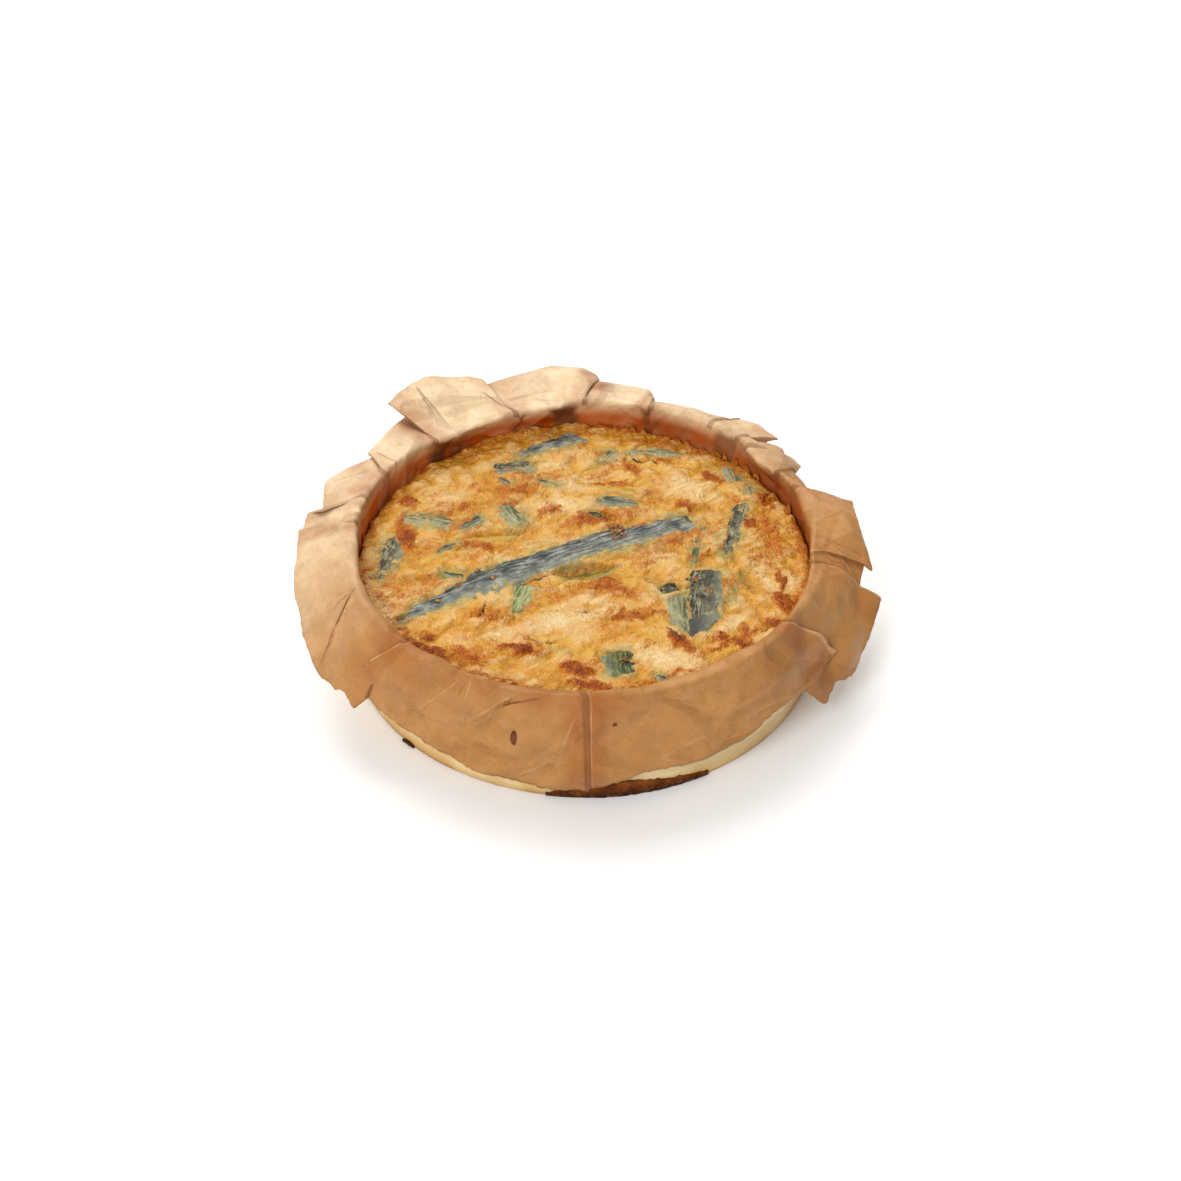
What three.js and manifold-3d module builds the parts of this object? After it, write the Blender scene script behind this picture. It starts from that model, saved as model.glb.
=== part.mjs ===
// A deep leek quiche, baked in a round thin-wood mould that is lined with one sheet of brown
// baking paper. The paper is pleated against the wall, turned out over the rim and hangs down
// outside it in overlapping flaps. Millimetres, +Z up, the origin at the middle of the mould's
// underside. Azimuths are degrees from +X towards +Y, so the front of the quiche is at -90.
import * as THREE from 'three';
import { mergeVertices } from 'three/addons/utils/BufferGeometryUtils.js';
import Module from 'manifold-3d';

// The mould
const MOULD_RADIUS = 90;
const MOULD_HEIGHT = 49;
const MOULD_WALL = 2.4;
const MOULD_FLOOR = 3;
const MOULD_EDGE = 0.7;
const MOULD_SIDES = 80;

// The free gap between pieces that touch
const GAP = 0.3;

// The baking paper
const PAPER_THICKNESS = 0.5;
const PAPER_FLOOR_Z = MOULD_FLOOR + GAP + PAPER_THICKNESS / 2;
const PAPER_WALL_RADIUS = MOULD_RADIUS - MOULD_WALL - GAP - PAPER_THICKNESS / 2;
const PAPER_CORNER = 3.4;
const CREST_Z = 50.3;
const SHOULDER_RADIUS = MOULD_RADIUS + 0.95;
const SHOULDER_Z = 50.05;
const LAP = 0.95;
const COLUMN_STEP = 9.5;

// The filling
const FILLING_RADIUS = PAPER_WALL_RADIUS - PAPER_THICKNESS / 2 - GAP;
const FILLING_BOTTOM_Z = PAPER_FLOOR_Z + PAPER_THICKNESS / 2 + GAP;
const FILLING_EDGE_Z = 37.6;
const FILLING_DOME = 3.2;
const FILLING_STEP = 4.4;

// The leek leaves
const LEAF_THICKNESS = 1.3;
const LEAF_PROUD = 0.45;

// The paper outside the rim, panel by panel with growing azimuth, from the slit at the front.
// A rib is [azimuth and radius at the crest, azimuth, radius and height at the tip, bow of the
// flap between them]. over says which lies on top at the pleat after the panel: 1 for this
// panel, -1 for the next.
const PANELS = [
  { over: 1, ribs: [[-89.5, 88.6, -88.4, 92.0, 7.2, 0.3], [-77, 88.6, -77.5, 92.6, 13.5, 0.5],
    [-62, 87.2, -64, 94.0, 14.5, 0.7], [-46, 87.5, -52, 96.6, 20, 1.1],
    [-40, 88.4, -40.5, 99.5, 26.6, 1.4], [-37, 89.2, -34.3, 100, 25.2, 1.2],
    [-35.2, 89.4, -25, 102.8, 29.9, 0.4]] },
  { over: 1, ribs: [[-33.8, 89.2, -38, 100, 28, 0.8], [-31.5, 88.9, -31.5, 105.4, 13.2, 0.8],
    [-29.5, 88.7, -26.5, 104.4, 18.1, 0.8], [-27, 88.4, -24.8, 107.6, 16.8, 1.0],
    [-22.5, 88.0, -22, 109.8, 17.4, 1.2], [-17.5, 87.3, -16.3, 110.9, 23.0, 1.4],
    [-12, 86.8, -7.5, 112.5, 30.1, 0.2]] },
  { over: -1, ribs: [[-10.6, 86.8, -10.5, 105.9, 36.6, 0.6], [-8, 86.4, -4.2, 106, 40.9, 0.6]] },
  { over: 1, ribs: [[-6.6, 86.3, -4.8, 108.4, 39.0, 0.4], [1, 86.8, 2, 105.8, 42.2, 0.6],
    [8, 87.2, 8, 105.2, 44.8, 0.5], [19, 87.8, 13.5, 106.3, 45.6, -0.4]] },
  { over: -1, ribs: [[20.4, 87.6, 12, 97, 38, 2.2], [23.5, 86.8, 19, 94, 38, 2.0],
    [27, 86.2, 26.5, 93, 38, 2.0]] },
  { over: 1, ribs: [[28.4, 85.0, 27, 92.8, 46.8, 0.2], [34, 82.6, 28.8, 97.2, 45.7, 0.4],
    [40, 84.6, 32.3, 98, 45.4, 0.4]] },
  { over: -1, ribs: [[41.4, 88.2, 30, 95, 44.5, 0.6], [43, 88.0, 36.8, 99.3, 46.4, 0.6],
    [45, 87.6, 42, 98.5, 44.5, 0.6]] },
  { over: -1, ribs: [[46.4, 87.6, 40.6, 101.7, 44.2, 0.5], [50, 87.8, 46.7, 103, 46.4, 0.6],
    [54, 88.4, 51.5, 101, 46.4, 0.6]] },
  { over: -1, ribs: [[55.4, 88.6, 53, 96.5, 34, 5.4], [63, 88.9, 63, 97, 31, 5.6],
    [71.5, 88.3, 73, 96.4, 34, 5.2]] },
  { over: -1, ribs: [[72.9, 87.2, 72.7, 96.6, 46.8, 0.6], [76, 87.3, 74.4, 99.7, 48.9, 0.8],
    [84, 87.4, 80.5, 101.2, 48.9, 0.9], [89.5, 87.5, 88.5, 104.6, 49.2, 0.8]] },
  { over: -1, ribs: [[90.9, 87.5, 86.6, 104.4, 47.8, 0.8], [92.4, 87.2, 87.5, 107.2, 48.7, 0.9],
    [95, 86.0, 90.3, 110.6, 50.2, 1.2], [100.5, 84.4, 97, 111.4, 50.7, 1.2],
    [105, 83.9, 105.2, 108.2, 51.0, 1.0], [109, 83.6, 117, 104.4, 51.6, 0.3]] },
  { over: 1, ribs: [[110.4, 83.4, 113.1, 106.2, 51.6, 0.2], [113, 83.1, 115.7, 108.2, 52.6, 0.6],
    [118, 82.8, 119.9, 112.4, 53.0, 1.0], [123.5, 82.6, 123.2, 115.4, 54.5, 1.0],
    [128, 82.6, 126.6, 115.9, 54.5, 0.3], [131, 82.7, 131.4, 114, 54.6, 1.2],
    [134, 84.2, 135, 111.9, 53.6, 0.4]] },
  { over: 1, ribs: [[135.4, 85.2, 132.5, 107.5, 48.8, 0.4], [144, 87.6, 140, 103.6, 49.3, 0.8],
    [152.6, 88.6, 149, 100, 49.4, 0.6]] },
  { over: -1, ribs: [[154, 89.0, 147.5, 98, 49.4, 0.5], [159, 89.2, 161, 106.1, 51.0, 1.0],
    [161.5, 89.2, 163.6, 105.4, 51.2, 0.8], [164, 89.2, 171.6, 101.8, 50.2, 0.6]] },
  { over: -1, ribs: [[165.4, 89.2, 171, 107.5, 45.7, 0.5], [170, 88.6, 174.5, 108.2, 44.8, 0.8],
    [174.4, 88.0, 178.5, 107.6, 43.4, 0.6]] },
  { over: -1, ribs: [[175.8, 87.9, 175.5, 109.2, 44.1, 0.5], [183, 86.4, 182.5, 109, 40.0, 1.2],
    [190, 86.8, 189, 110.5, 34.8, 1.4], [195, 87.8, 193.5, 110.3, 34.4, 1.2],
    [198.5, 88.7, 200.3, 111, 32.5, 0.8], [200.7, 89.0, 208.5, 112.5, 29.4, 0.4],
    [209, 89.3, 214.3, 110.8, 28.0, 1.2], [216.5, 89.0, 216.2, 108.7, 28.6, 0.8],
    [220.5, 89.2, 218.9, 108.8, 23.4, 0.8], [223, 89.4, 220.6, 104.2, 28.4, 0.6]] },
  { over: -1, ribs: [[224.4, 89.8, 214.3, 103.3, 29.6, 0.3], [226.5, 89.2, 217, 104.5, 24.2, 0.9],
    [229, 88.4, 219.8, 102.4, 27.6, 1.2], [234.5, 87.2, 227.7, 100.6, 21.4, 1.5],
    [240, 88.8, 236.8, 98, 16.6, 1.2], [247, 89.2, 245.5, 95.8, 12.4, 0.8],
    [256, 89.2, 256.3, 94.2, 8.8, 0.6], [264, 89.4, 264.6, 93.4, 6.4, 0.4],
    [269.1, 89.0, 270.6, 93.2, 5.2, 0.2]] },
];

// How the return layer of a pleat lies between the two panels, as shares of LAP
const TOP_LEVEL = 1;
const RETURN_LEVEL = 0.35;

// The rows of the paper up to its rim, [radius, height]. Above them the wall leans to the crest.
const WALL_ROWS = [
  [PAPER_WALL_RADIUS - PAPER_CORNER, PAPER_FLOOR_Z],
  [PAPER_WALL_RADIUS, PAPER_FLOOR_Z + PAPER_CORNER],
  [PAPER_WALL_RADIUS, 40.4],
];
const RIM_INSIDE_Z = 49.35;
const CREST_ROLL = 1.0;
// Places of the flap's rows between shoulder and tip, and how far the pleat has opened there
const FLAP_ROWS = [[0, 0.3], [0.18, 0.7], [0.4, 1], [0.7, 1], [1, 1]];

// Leek leaves: name, middle line from start to end with its sideways bow, and half widths along
// it
const LEAVES = [
  { name: 'leek_long_strip', from: [-70, -37.5], to: [42.4, 20.2], bow: 4.8,
    half: [0.9, 3.6, 5.2, 5.4, 5.2, 4.8, 4.6], steps: 16 },
  { name: 'leek_right_strip', from: [63.4, 33.8], to: [53.5, -2.6], bow: -0.6,
    half: [2.6, 3.0, 2.9, 2.3, 1.4], steps: 8 },
  { name: 'leek_right_chip', from: [64.4, 44.6], to: [66.2, 37.6], bow: 0,
    half: [1.8, 2.5, 2.0], steps: 2 },
  { name: 'leek_thin_edge', from: [46.4, 17.4], to: [42.2, -5], bow: -1.2,
    half: [0.9, 1.4, 1.3, 0.8], steps: 5 },
  { name: 'leek_broad_right', from: [47.4, -8.8], to: [41.4, -47.5], bow: 1.6,
    half: [4.2, 5.9, 5.4, 4.4, 1.0], steps: 8 },
  { name: 'leek_broad_left', from: [34.4, -25.4], to: [37.2, -46], bow: 0,
    half: [3.2, 3.4, 2.6, 0.9], steps: 5 },
  { name: 'leek_dark_chip', from: [29.2, -21], to: [35.4, -18.6], bow: 0,
    half: [1.6, 2.3, 1.7], steps: 2 },
  { name: 'leek_front_square', from: [11.6, -55.6], to: [12.6, -67.6], bow: 0,
    half: [4.6, 5.4, 5.3, 4.2], steps: 3 },
  { name: 'leek_front_chip', from: [25.6, -67.8], to: [30.8, -69.8], bow: 0,
    half: [0.8, 1.4, 0.8], steps: 2 },
  { name: 'leek_back_dark', from: [-27, 62.6], to: [-0.6, 76.8], bow: 0.8,
    half: [1.8, 2.8, 3.4, 4.6, 3.0], steps: 6 },
  { name: 'leek_back_left', from: [-36, 53.2], to: [-20.6, 55.6], bow: 0.6,
    half: [2.6, 4.2, 4.0, 2.6], steps: 4 },
  { name: 'leek_back_sliver', from: [-34, 47.6], to: [-28.4, 41.4], bow: 0,
    half: [0.8, 1.5, 0.8], steps: 2 },
  { name: 'leek_back_green', from: [-20, 46.4], to: [-10.8, 42.4], bow: 0.4,
    half: [1.2, 2.2, 1.2], steps: 3 },
  { name: 'leek_back_right', from: [17.4, 66.4], to: [40.6, 66.0], bow: 0.8,
    half: [2.2, 3.2, 3.2, 1.8], steps: 5 },
  { name: 'leek_back_fold', from: [7.6, 57], to: [12.4, 66.6], bow: 0,
    half: [2.2, 3.2, 2.6], steps: 3 },
  { name: 'leek_right_back', from: [56.8, 58.2], to: [59.8, 47], bow: 0,
    half: [2.0, 3.4, 2.8], steps: 3 },
  { name: 'leek_grey_leaf', from: [-31.8, 29.6], to: [-24.6, 16.6], bow: 0,
    half: [3.6, 4.2, 3.8], steps: 4 },
  { name: 'leek_blue_chip', from: [-48, 14.2], to: [-39.4, 21.2], bow: 0,
    half: [1.6, 2.9, 2.6], steps: 3 },
  { name: 'leek_grey_band', from: [-71, 23.4], to: [-51.6, 18.2], bow: 0.6,
    half: [2.0, 3.6, 3.8, 3.0], steps: 5 },
  { name: 'leek_left_sliver', from: [-56, 0.8], to: [-48.2, 6], bow: 0.5,
    half: [0.7, 1.3, 0.7], steps: 3 },
  { name: 'leek_left_dark', from: [-73.4, 12.4], to: [-78.2, -14.4], bow: 1.4,
    half: [2.6, 3.4, 3.6, 2.2], steps: 6 },
  { name: 'leek_left_green', from: [-53.6, -10.6], to: [-45.6, -12.8], bow: 0,
    half: [0.9, 1.7, 0.9], steps: 3 },
  { name: 'leek_small_leaf', from: [-21, -18.8], to: [-25.4, -34.4], bow: 0,
    half: [4.0, 3.6, 2.2, 1.0], steps: 4 },
  { name: 'leek_olive_strip', from: [-8.8, -12.8], to: [13, -6.2], bow: 0,
    half: [1.6, 2.6, 2.6, 1.4], steps: 5 },
  { name: 'leek_crescent', from: [-6.2, 47.6], to: [28.2, 36.8], bow: -2.4,
    half: [0.8, 1.9, 1.9, 0.8], steps: 7 },
  { name: 'leek_centre_leaf', from: [3.2, 31.6], to: [20.8, 30.2], bow: 0.6,
    half: [2.2, 3.4, 3.4, 1.6], steps: 4 },
  { name: 'leek_centre_chip', from: [0.8, 24.8], to: [9, 22.8], bow: 0,
    half: [0.9, 1.5, 0.9], steps: 3 },
  { name: 'leek_left_crescent', from: [-43.6, 9.4], to: [-24.8, 11.6], bow: -0.8,
    half: [0.9, 1.8, 1.8, 0.9], steps: 5 },
];

// Hollows in the baked top: middle, half length, half width, turn in degrees, depth
const HOLLOWS = [
  { x: 39.5, y: 73, long: 24, wide: 9, turn: -28, deep: 2.6 },
  { x: 2.1, y: -10, long: 13, wide: 5.5, turn: 17, deep: 1.9 },
  { x: 32.5, y: -20.5, long: 6, wide: 4.4, turn: 20, deep: 1.3 },
  { x: 5, y: 23, long: 8, wide: 3.6, turn: -12, deep: 1.1 },
  { x: -64, y: -12, long: 8, wide: 3.6, turn: -20, deep: 0.9 },
  { x: -44, y: 5, long: 12, wide: 3, turn: 20, deep: 0.6 },
];

// Custard and cheese that ran out under the front and baked on the foot of the mould
const SPILL = { from: -99, to: -60, step: 3, bottom: 0.4, top: 7.6, thin: 0.5, thick: 1.2 };

const rad = (degrees) => (degrees * Math.PI) / 180;
const mix = (a, b, t) => a + (b - a) * t;
const smooth = (t) => t * t * (3 - 2 * t);
const clamp = (t, low, high) => Math.min(high, Math.max(low, t));
const polar = (azimuth, radius, z) =>
  new THREE.Vector3(radius * Math.cos(rad(azimuth)), radius * Math.sin(rad(azimuth)), z);

// Smooth noise from -1 to 1: seeded values on a unit lattice, blended between its corners.
function noise(x, y, seed) {
  const corner = (i, j) => {
    const v = Math.sin(i * 127.1 + j * 311.7 + seed * 74.7) * 43758.5453;
    return v - Math.floor(v);
  };
  const i = Math.floor(x);
  const j = Math.floor(y);
  const u = smooth(x - i);
  const v = smooth(y - j);
  const low = mix(corner(i, j), corner(i + 1, j), u);
  const high = mix(corner(i, j + 1), corner(i + 1, j + 1), u);
  return 2 * mix(low, high, v) - 1;
}

// A value along a list of evenly spaced ones, at share t of the way.
function along(list, t) {
  const place = clamp(t, 0, 1) * (list.length - 1);
  const i = Math.min(Math.floor(place), list.length - 2);
  return mix(list[i], list[i + 1], place - i);
}

// An indexed geometry from points and triangles, turned so that its faces point outwards.
function closedGeometry(points, triangles) {
  let volume = 0;
  for (const [a, b, c] of triangles) {
    volume += points[a].dot(points[b].clone().cross(points[c]));
  }
  const facing = volume > 0 ? triangles : triangles.map(([a, b, c]) => [a, c, b]);
  const geometry = new THREE.BufferGeometry();
  geometry.setFromPoints(points);
  geometry.setIndex(facing.flat());
  return geometry;
}

// Both triangles of each cell of a grid, in the order that the corners a, b, c, d go round it.
const quad = (a, b, c, d) => [[a, b, c], [a, c, d]];

// A closed solid between two open grids of points with the same rows and columns.
function solidBetween(upper, lower) {
  const rows = upper.length;
  const columns = upper[0].length;
  const points = [...upper.flat(), ...lower.flat()];
  const up = (i, j) => i * columns + j;
  const down = (i, j) => rows * columns + up(i, j);
  const triangles = [];
  for (let i = 0; i < rows - 1; i++) {
    for (let j = 0; j < columns - 1; j++) {
      triangles.push(...quad(up(i, j), up(i, j + 1), up(i + 1, j + 1), up(i + 1, j)));
      triangles.push(...quad(down(i, j), down(i + 1, j), down(i + 1, j + 1), down(i, j + 1)));
    }
  }
  const border = [];
  for (let j = 0; j < columns - 1; j++) border.push([0, j]);
  for (let i = 0; i < rows - 1; i++) border.push([i, columns - 1]);
  for (let j = columns - 1; j > 0; j--) border.push([rows - 1, j]);
  for (let i = rows - 1; i > 0; i--) border.push([i, 0]);
  border.forEach(([i, j], k) => {
    const [m, n] = border[(k + 1) % border.length];
    triangles.push(...quad(up(i, j), down(i, j), down(m, n), up(m, n)));
  });
  return closedGeometry(points, triangles);
}

// The mould: a straight-sided cup, its rim and foot slightly broken.
function mouldGeometry() {
  const inner = MOULD_RADIUS - MOULD_WALL;
  const profile = [
    [0, 0], [MOULD_RADIUS - MOULD_EDGE, 0], [MOULD_RADIUS, MOULD_EDGE],
    [MOULD_RADIUS, MOULD_HEIGHT - MOULD_EDGE], [MOULD_RADIUS - MOULD_EDGE, MOULD_HEIGHT],
    [inner, MOULD_HEIGHT], [inner, MOULD_FLOOR], [0, MOULD_FLOOR],
  ].map(([r, z]) => new THREE.Vector2(r, z));
  const turned = new THREE.LatheGeometry(profile, MOULD_SIDES);
  turned.rotateX(Math.PI / 2);
  return turned;
}

// One column of the paper at a place between two ribs: its crest, its tip and its bow.
function ribPoint(rib) {
  const [crestAzimuth, crestRadius, tipAzimuth, tipRadius, tipZ, bow] = rib;
  return {
    crest: polar(crestAzimuth, crestRadius, CREST_Z),
    tip: polar(tipAzimuth, tipRadius, tipZ),
    bow,
  };
}

const between = (a, b, t) => ({
  crest: a.crest.clone().lerp(b.crest, t),
  tip: a.tip.clone().lerp(b.tip, t),
  bow: mix(a.bow, b.bow, t),
});

// All columns of the sheet in order round it. Each panel is straight between its ribs, and rises
// or sinks in level to the pleat at its end. A pleat is two columns that fold the sheet back.
function paperColumns() {
  const panels = PANELS.map((panel) => panel.ribs.map(ribPoint));
  const columns = [];
  panels.forEach((ribs, p) => {
    const before = PANELS[(p + PANELS.length - 1) % PANELS.length].over;
    const after = PANELS[p].over;
    const first = ribs[0].crest;
    const whole = ribs[ribs.length - 1].crest.distanceTo(first);
    const level = (column) =>
      mix(-before, after, clamp(column.crest.distanceTo(first) / whole, 0, 1)) * TOP_LEVEL;
    for (let k = 0; k < ribs.length - 1; k++) {
      const width = ribs[k].crest.distanceTo(ribs[k + 1].crest);
      const steps = Math.max(1, Math.round(width / COLUMN_STEP));
      for (let s = 0; s < steps; s++) {
        const column = between(ribs[k], ribs[k + 1], s / steps);
        columns.push({ ...column, level: level(column) });
      }
    }
    const end = ribs[ribs.length - 1];
    const next = panels[(p + 1) % panels.length][0];
    columns.push({ ...end, level: after * TOP_LEVEL });
    columns.push({ ...end, crest: between(end, next, 1 / 3).crest, level: after * RETURN_LEVEL });
    columns.push({ ...next, crest: between(end, next, 2 / 3).crest, level: -after * RETURN_LEVEL });
  });
  return columns;
}

// The middle surface of the paper along one column, from its floor to the tip of the flap.
function paperPoints(column) {
  const { crest, tip, bow, level } = column;
  const azimuth = (Math.atan2(crest.y, crest.x) * 180) / Math.PI;
  const crestRadius = Math.hypot(crest.x, crest.y);
  const points = WALL_ROWS.map(([radius, z]) => polar(azimuth, radius, z));
  const insideRim = Math.min(crestRadius - CREST_ROLL, PAPER_WALL_RADIUS - 0.1);
  points.push(polar(azimuth, insideRim, RIM_INSIDE_Z), crest.clone());
  const tipRadius = Math.hypot(tip.x, tip.y);
  const across = clamp((SHOULDER_RADIUS - crestRadius) / (tipRadius - crestRadius), 0, 1);
  const shoulder = crest.clone().lerp(tip, across).setZ(0).setLength(SHOULDER_RADIUS);
  shoulder.z = SHOULDER_Z;
  const outwards = new THREE.Vector3(tip.x, tip.y, 0).normalize();
  const run = tip.clone().sub(shoulder).dot(outwards);
  const rise = tip.z - shoulder.z;
  const normal = outwards.clone().multiplyScalar(-rise);
  normal.z = run;
  normal.normalize();
  const middle = shoulder.clone().lerp(tip, 0.5).addScaledVector(normal, 2 * bow);
  for (const [t, open] of FLAP_ROWS) {
    const point = shoulder.clone().multiplyScalar((1 - t) * (1 - t));
    point.addScaledVector(middle, 2 * t * (1 - t)).addScaledVector(tip, t * t);
    points.push(point.addScaledVector(normal, level * LAP * open));
  }
  return points;
}

// The paper: its middle surface thickened along the normals at its points. The columns close
// round the sheet, and all start from one point at the middle of its floor.
function paperGeometry() {
  const grid = paperColumns().map(paperPoints);
  const columns = grid.length;
  const rows = grid[0].length;
  const middle = grid.flat();
  const pole = new THREE.Vector3(0, 0, PAPER_FLOOR_Z);
  const sheet = [];
  const at = (i, j) => (i % columns) * rows + j;
  for (let i = 0; i < columns; i++) {
    sheet.push([columns * rows, at(i, 0), at(i + 1, 0)]);
    for (let j = 0; j < rows - 1; j++) {
      sheet.push(...quad(at(i, j), at(i, j + 1), at(i + 1, j + 1), at(i + 1, j)));
    }
  }
  const flat = new THREE.BufferGeometry().setFromPoints([...middle, pole]);
  flat.setIndex(sheet.flat());
  flat.computeVertexNormals();
  const normals = flat.getAttribute('normal');
  const shifted = (side) => [...middle, pole].map((point, i) =>
    point.clone().addScaledVector(
      new THREE.Vector3().fromBufferAttribute(normals, i), (side * PAPER_THICKNESS) / 2));
  const points = [...shifted(1), ...shifted(-1)];
  const other = middle.length + 1;
  const triangles = [...sheet, ...sheet.map(([a, b, c]) => [a + other, c + other, b + other])];
  for (let i = 0; i < columns; i++) {
    const a = at(i, rows - 1);
    const b = at(i + 1, rows - 1);
    triangles.push(...quad(a, a + other, b + other, b));
  }
  return closedGeometry(points, triangles);
}

// Height of the baked top over a place: a low dome with soft lumps, crags and hollows, which
// climbs the paper a little at its edge.
function fillingTop(x, y) {
  const r = Math.hypot(x, y) / FILLING_RADIUS;
  const lumps = 0.8 * noise(x / 17, y / 13, 1) + 0.55 * noise(x / 7.5, y / 6, 2);
  const crags = 1.1 * Math.max(0, noise(x / 11 + 4, y / 8, 3) - 0.25);
  const climb = smooth(clamp((r - 0.93) / 0.07, 0, 1)) * (0.5 + 0.5 * noise(x / 6, y / 6, 4));
  let z = FILLING_EDGE_Z + FILLING_DOME * (1 - r ** 4);
  z += (lumps + crags) * (1 - 0.6 * r ** 8) + 1.3 * climb;
  for (const hollow of HOLLOWS) {
    const turn = rad(hollow.turn);
    const u = ((x - hollow.x) * Math.cos(turn) + (y - hollow.y) * Math.sin(turn)) / hollow.long;
    const v = ((y - hollow.y) * Math.cos(turn) - (x - hollow.x) * Math.sin(turn)) / hollow.wide;
    z -= hollow.deep * Math.exp(-(u * u + v * v) * 1.6);
  }
  return z;
}

// The triangles between two closed rings of points, numbered from first to first + count.
function bandBetween(inner, outer) {
  const triangles = [];
  let i = 0;
  let j = 0;
  while (i < inner.count || j < outer.count) {
    const a = inner.first + (i % inner.count);
    const b = outer.first + (j % outer.count);
    if ((j + 1) / outer.count <= (i + 1) / inner.count) {
      triangles.push([a, b, outer.first + ((j + 1) % outer.count)]);
      j += 1;
    } else {
      triangles.push([a, b, inner.first + ((i + 1) % inner.count)]);
      i += 1;
    }
  }
  return triangles;
}

// The filling: rings of points on its top, each with as many as it needs, a wall and a floor.
function fillingGeometry() {
  const points = [new THREE.Vector3(0, 0, fillingTop(0, 0))];
  const triangles = [];
  const ringCount = Math.round(FILLING_RADIUS / FILLING_STEP);
  let last = null;
  for (let k = 1; k <= ringCount; k++) {
    const radius = (FILLING_RADIUS * k) / ringCount;
    const count = Math.max(6, Math.round((2 * Math.PI * radius) / FILLING_STEP));
    const ring = { first: points.length, count };
    for (let i = 0; i < count; i++) {
      const place = polar((360 * i) / count, radius, 0);
      points.push(place.setZ(fillingTop(place.x, place.y)));
    }
    const middle = { first: 0, count: 1 };
    triangles.push(...bandBetween(last ?? middle, ring).filter(([a, b, c]) => c !== a));
    last = ring;
  }
  const below = [
    [FILLING_RADIUS, FILLING_BOTTOM_Z + PAPER_CORNER],
    [FILLING_RADIUS - PAPER_CORNER, FILLING_BOTTOM_Z],
  ];
  for (const [radius, z] of below) {
    const ring = { first: points.length, count: last.count };
    for (let i = 0; i < ring.count; i++) points.push(polar((360 * i) / ring.count, radius, z));
    triangles.push(...bandBetween(last, ring));
    last = ring;
  }
  const pole = points.length;
  points.push(new THREE.Vector3(0, 0, FILLING_BOTTOM_Z));
  for (let i = 0; i < last.count; i++) {
    triangles.push([pole, last.first + ((i + 1) % last.count), last.first + i]);
  }
  return closedGeometry(points, triangles);
}

// A leek leaf: a thin wavy slab along its middle line, lying in the baked top with a little of
// its thickness above it. With grow it is the pocket that the leaf lies in, wider all round and
// open above.
function leafGeometry(leaf, grow) {
  const from = new THREE.Vector2(...leaf.from);
  const to = new THREE.Vector2(...leaf.to);
  const line = to.clone().sub(from);
  const length = line.length();
  const ahead = line.clone().divideScalar(length);
  const side = new THREE.Vector2(-ahead.y, ahead.x);
  const upper = [];
  const lower = [];
  for (let i = 0; i <= leaf.steps; i++) {
    const t = i / leaf.steps;
    const reach = mix(-grow, length + grow, t);
    const middle = from.clone().addScaledVector(ahead, reach);
    middle.addScaledVector(side, leaf.bow * 4 * t * (1 - t));
    const half = along(leaf.half, t) + grow;
    const top = [];
    const bottom = [];
    for (const across of [-1, 0, 1]) {
      const x = middle.x + side.x * half * across;
      const y = middle.y + side.y * half * across;
      const wave = 0.25 * noise(x / 5, y / 5, 7) - 0.35 * Math.abs(across);
      const z = fillingTop(x, y) + LEAF_PROUD + wave;
      top.push(new THREE.Vector3(x, y, z + 10 * grow));
      bottom.push(new THREE.Vector3(x, y, z - LEAF_THICKNESS - grow));
    }
    upper.push(top);
    lower.push(bottom);
  }
  return solidBetween(upper, lower);
}

// What baked on the foot of the mould: a ragged crust on its outer face, just above the ground.
function spillGeometry() {
  const outer = [];
  const inner = [];
  const rows = 4;
  for (let azimuth = SPILL.from; azimuth <= SPILL.to; azimuth += SPILL.step) {
    const t = (azimuth - SPILL.from) / (SPILL.to - SPILL.from);
    const rise = Math.sqrt(Math.sin(Math.PI * clamp(t, 0.03, 0.97)));
    const height = SPILL.top * rise * (0.86 + 0.14 * noise(azimuth / 5, 0, 11));
    const open = smooth(clamp((azimuth + 91) / 5, 0, 1));
    const face = [];
    const back = [];
    for (let j = 0; j <= rows; j++) {
      const v = j / rows;
      const z = SPILL.bottom + Math.max(1, height - SPILL.bottom) * v;
      const bulge = Math.sin(Math.PI * mix(0.25, 0.9, v));
      const crust = 0.5 + 0.5 * noise(azimuth / 4, v * 3, 12);
      const depth = SPILL.thin + SPILL.thick * open * bulge * crust;
      face.push(polar(azimuth, MOULD_RADIUS + GAP + depth, z));
      back.push(polar(azimuth, MOULD_RADIUS + GAP, z));
    }
    outer.push(face);
    inner.push(back);
  }
  return solidBetween(outer, inner);
}

const wasm = await Module();
wasm.setup();

// A closed geometry as a solid that can be cut, and a cut solid as a geometry again.
function toSolid(geometry) {
  const bare = geometry.clone();
  bare.deleteAttribute('normal');
  bare.deleteAttribute('uv');
  const merged = mergeVertices(bare);
  return new wasm.Manifold(new wasm.Mesh({
    numProp: 3,
    vertProperties: new Float32Array(merged.getAttribute('position').array),
    triVerts: new Uint32Array(merged.index.array),
  }));
}

function toGeometry(solid) {
  const mesh = solid.getMesh();
  const geometry = new THREE.BufferGeometry();
  geometry.setAttribute('position', new THREE.BufferAttribute(mesh.vertProperties, 3));
  geometry.setIndex(new THREE.BufferAttribute(mesh.triVerts, 1));
  return geometry;
}

const WOOD = new THREE.MeshStandardMaterial({ color: 0xe3cfa3, roughness: 0.7 });
const PAPER = new THREE.MeshStandardMaterial({ color: 0xcf9f6b, roughness: 0.65 });
const CUSTARD = new THREE.MeshStandardMaterial({ color: 0xeec169, roughness: 0.5 });
const LEEK = new THREE.MeshStandardMaterial({ color: 0x4f6149, roughness: 0.5 });
const CRUST = new THREE.MeshStandardMaterial({ color: 0x8a5121, roughness: 0.7 });

const quiche = new THREE.Group();

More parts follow.
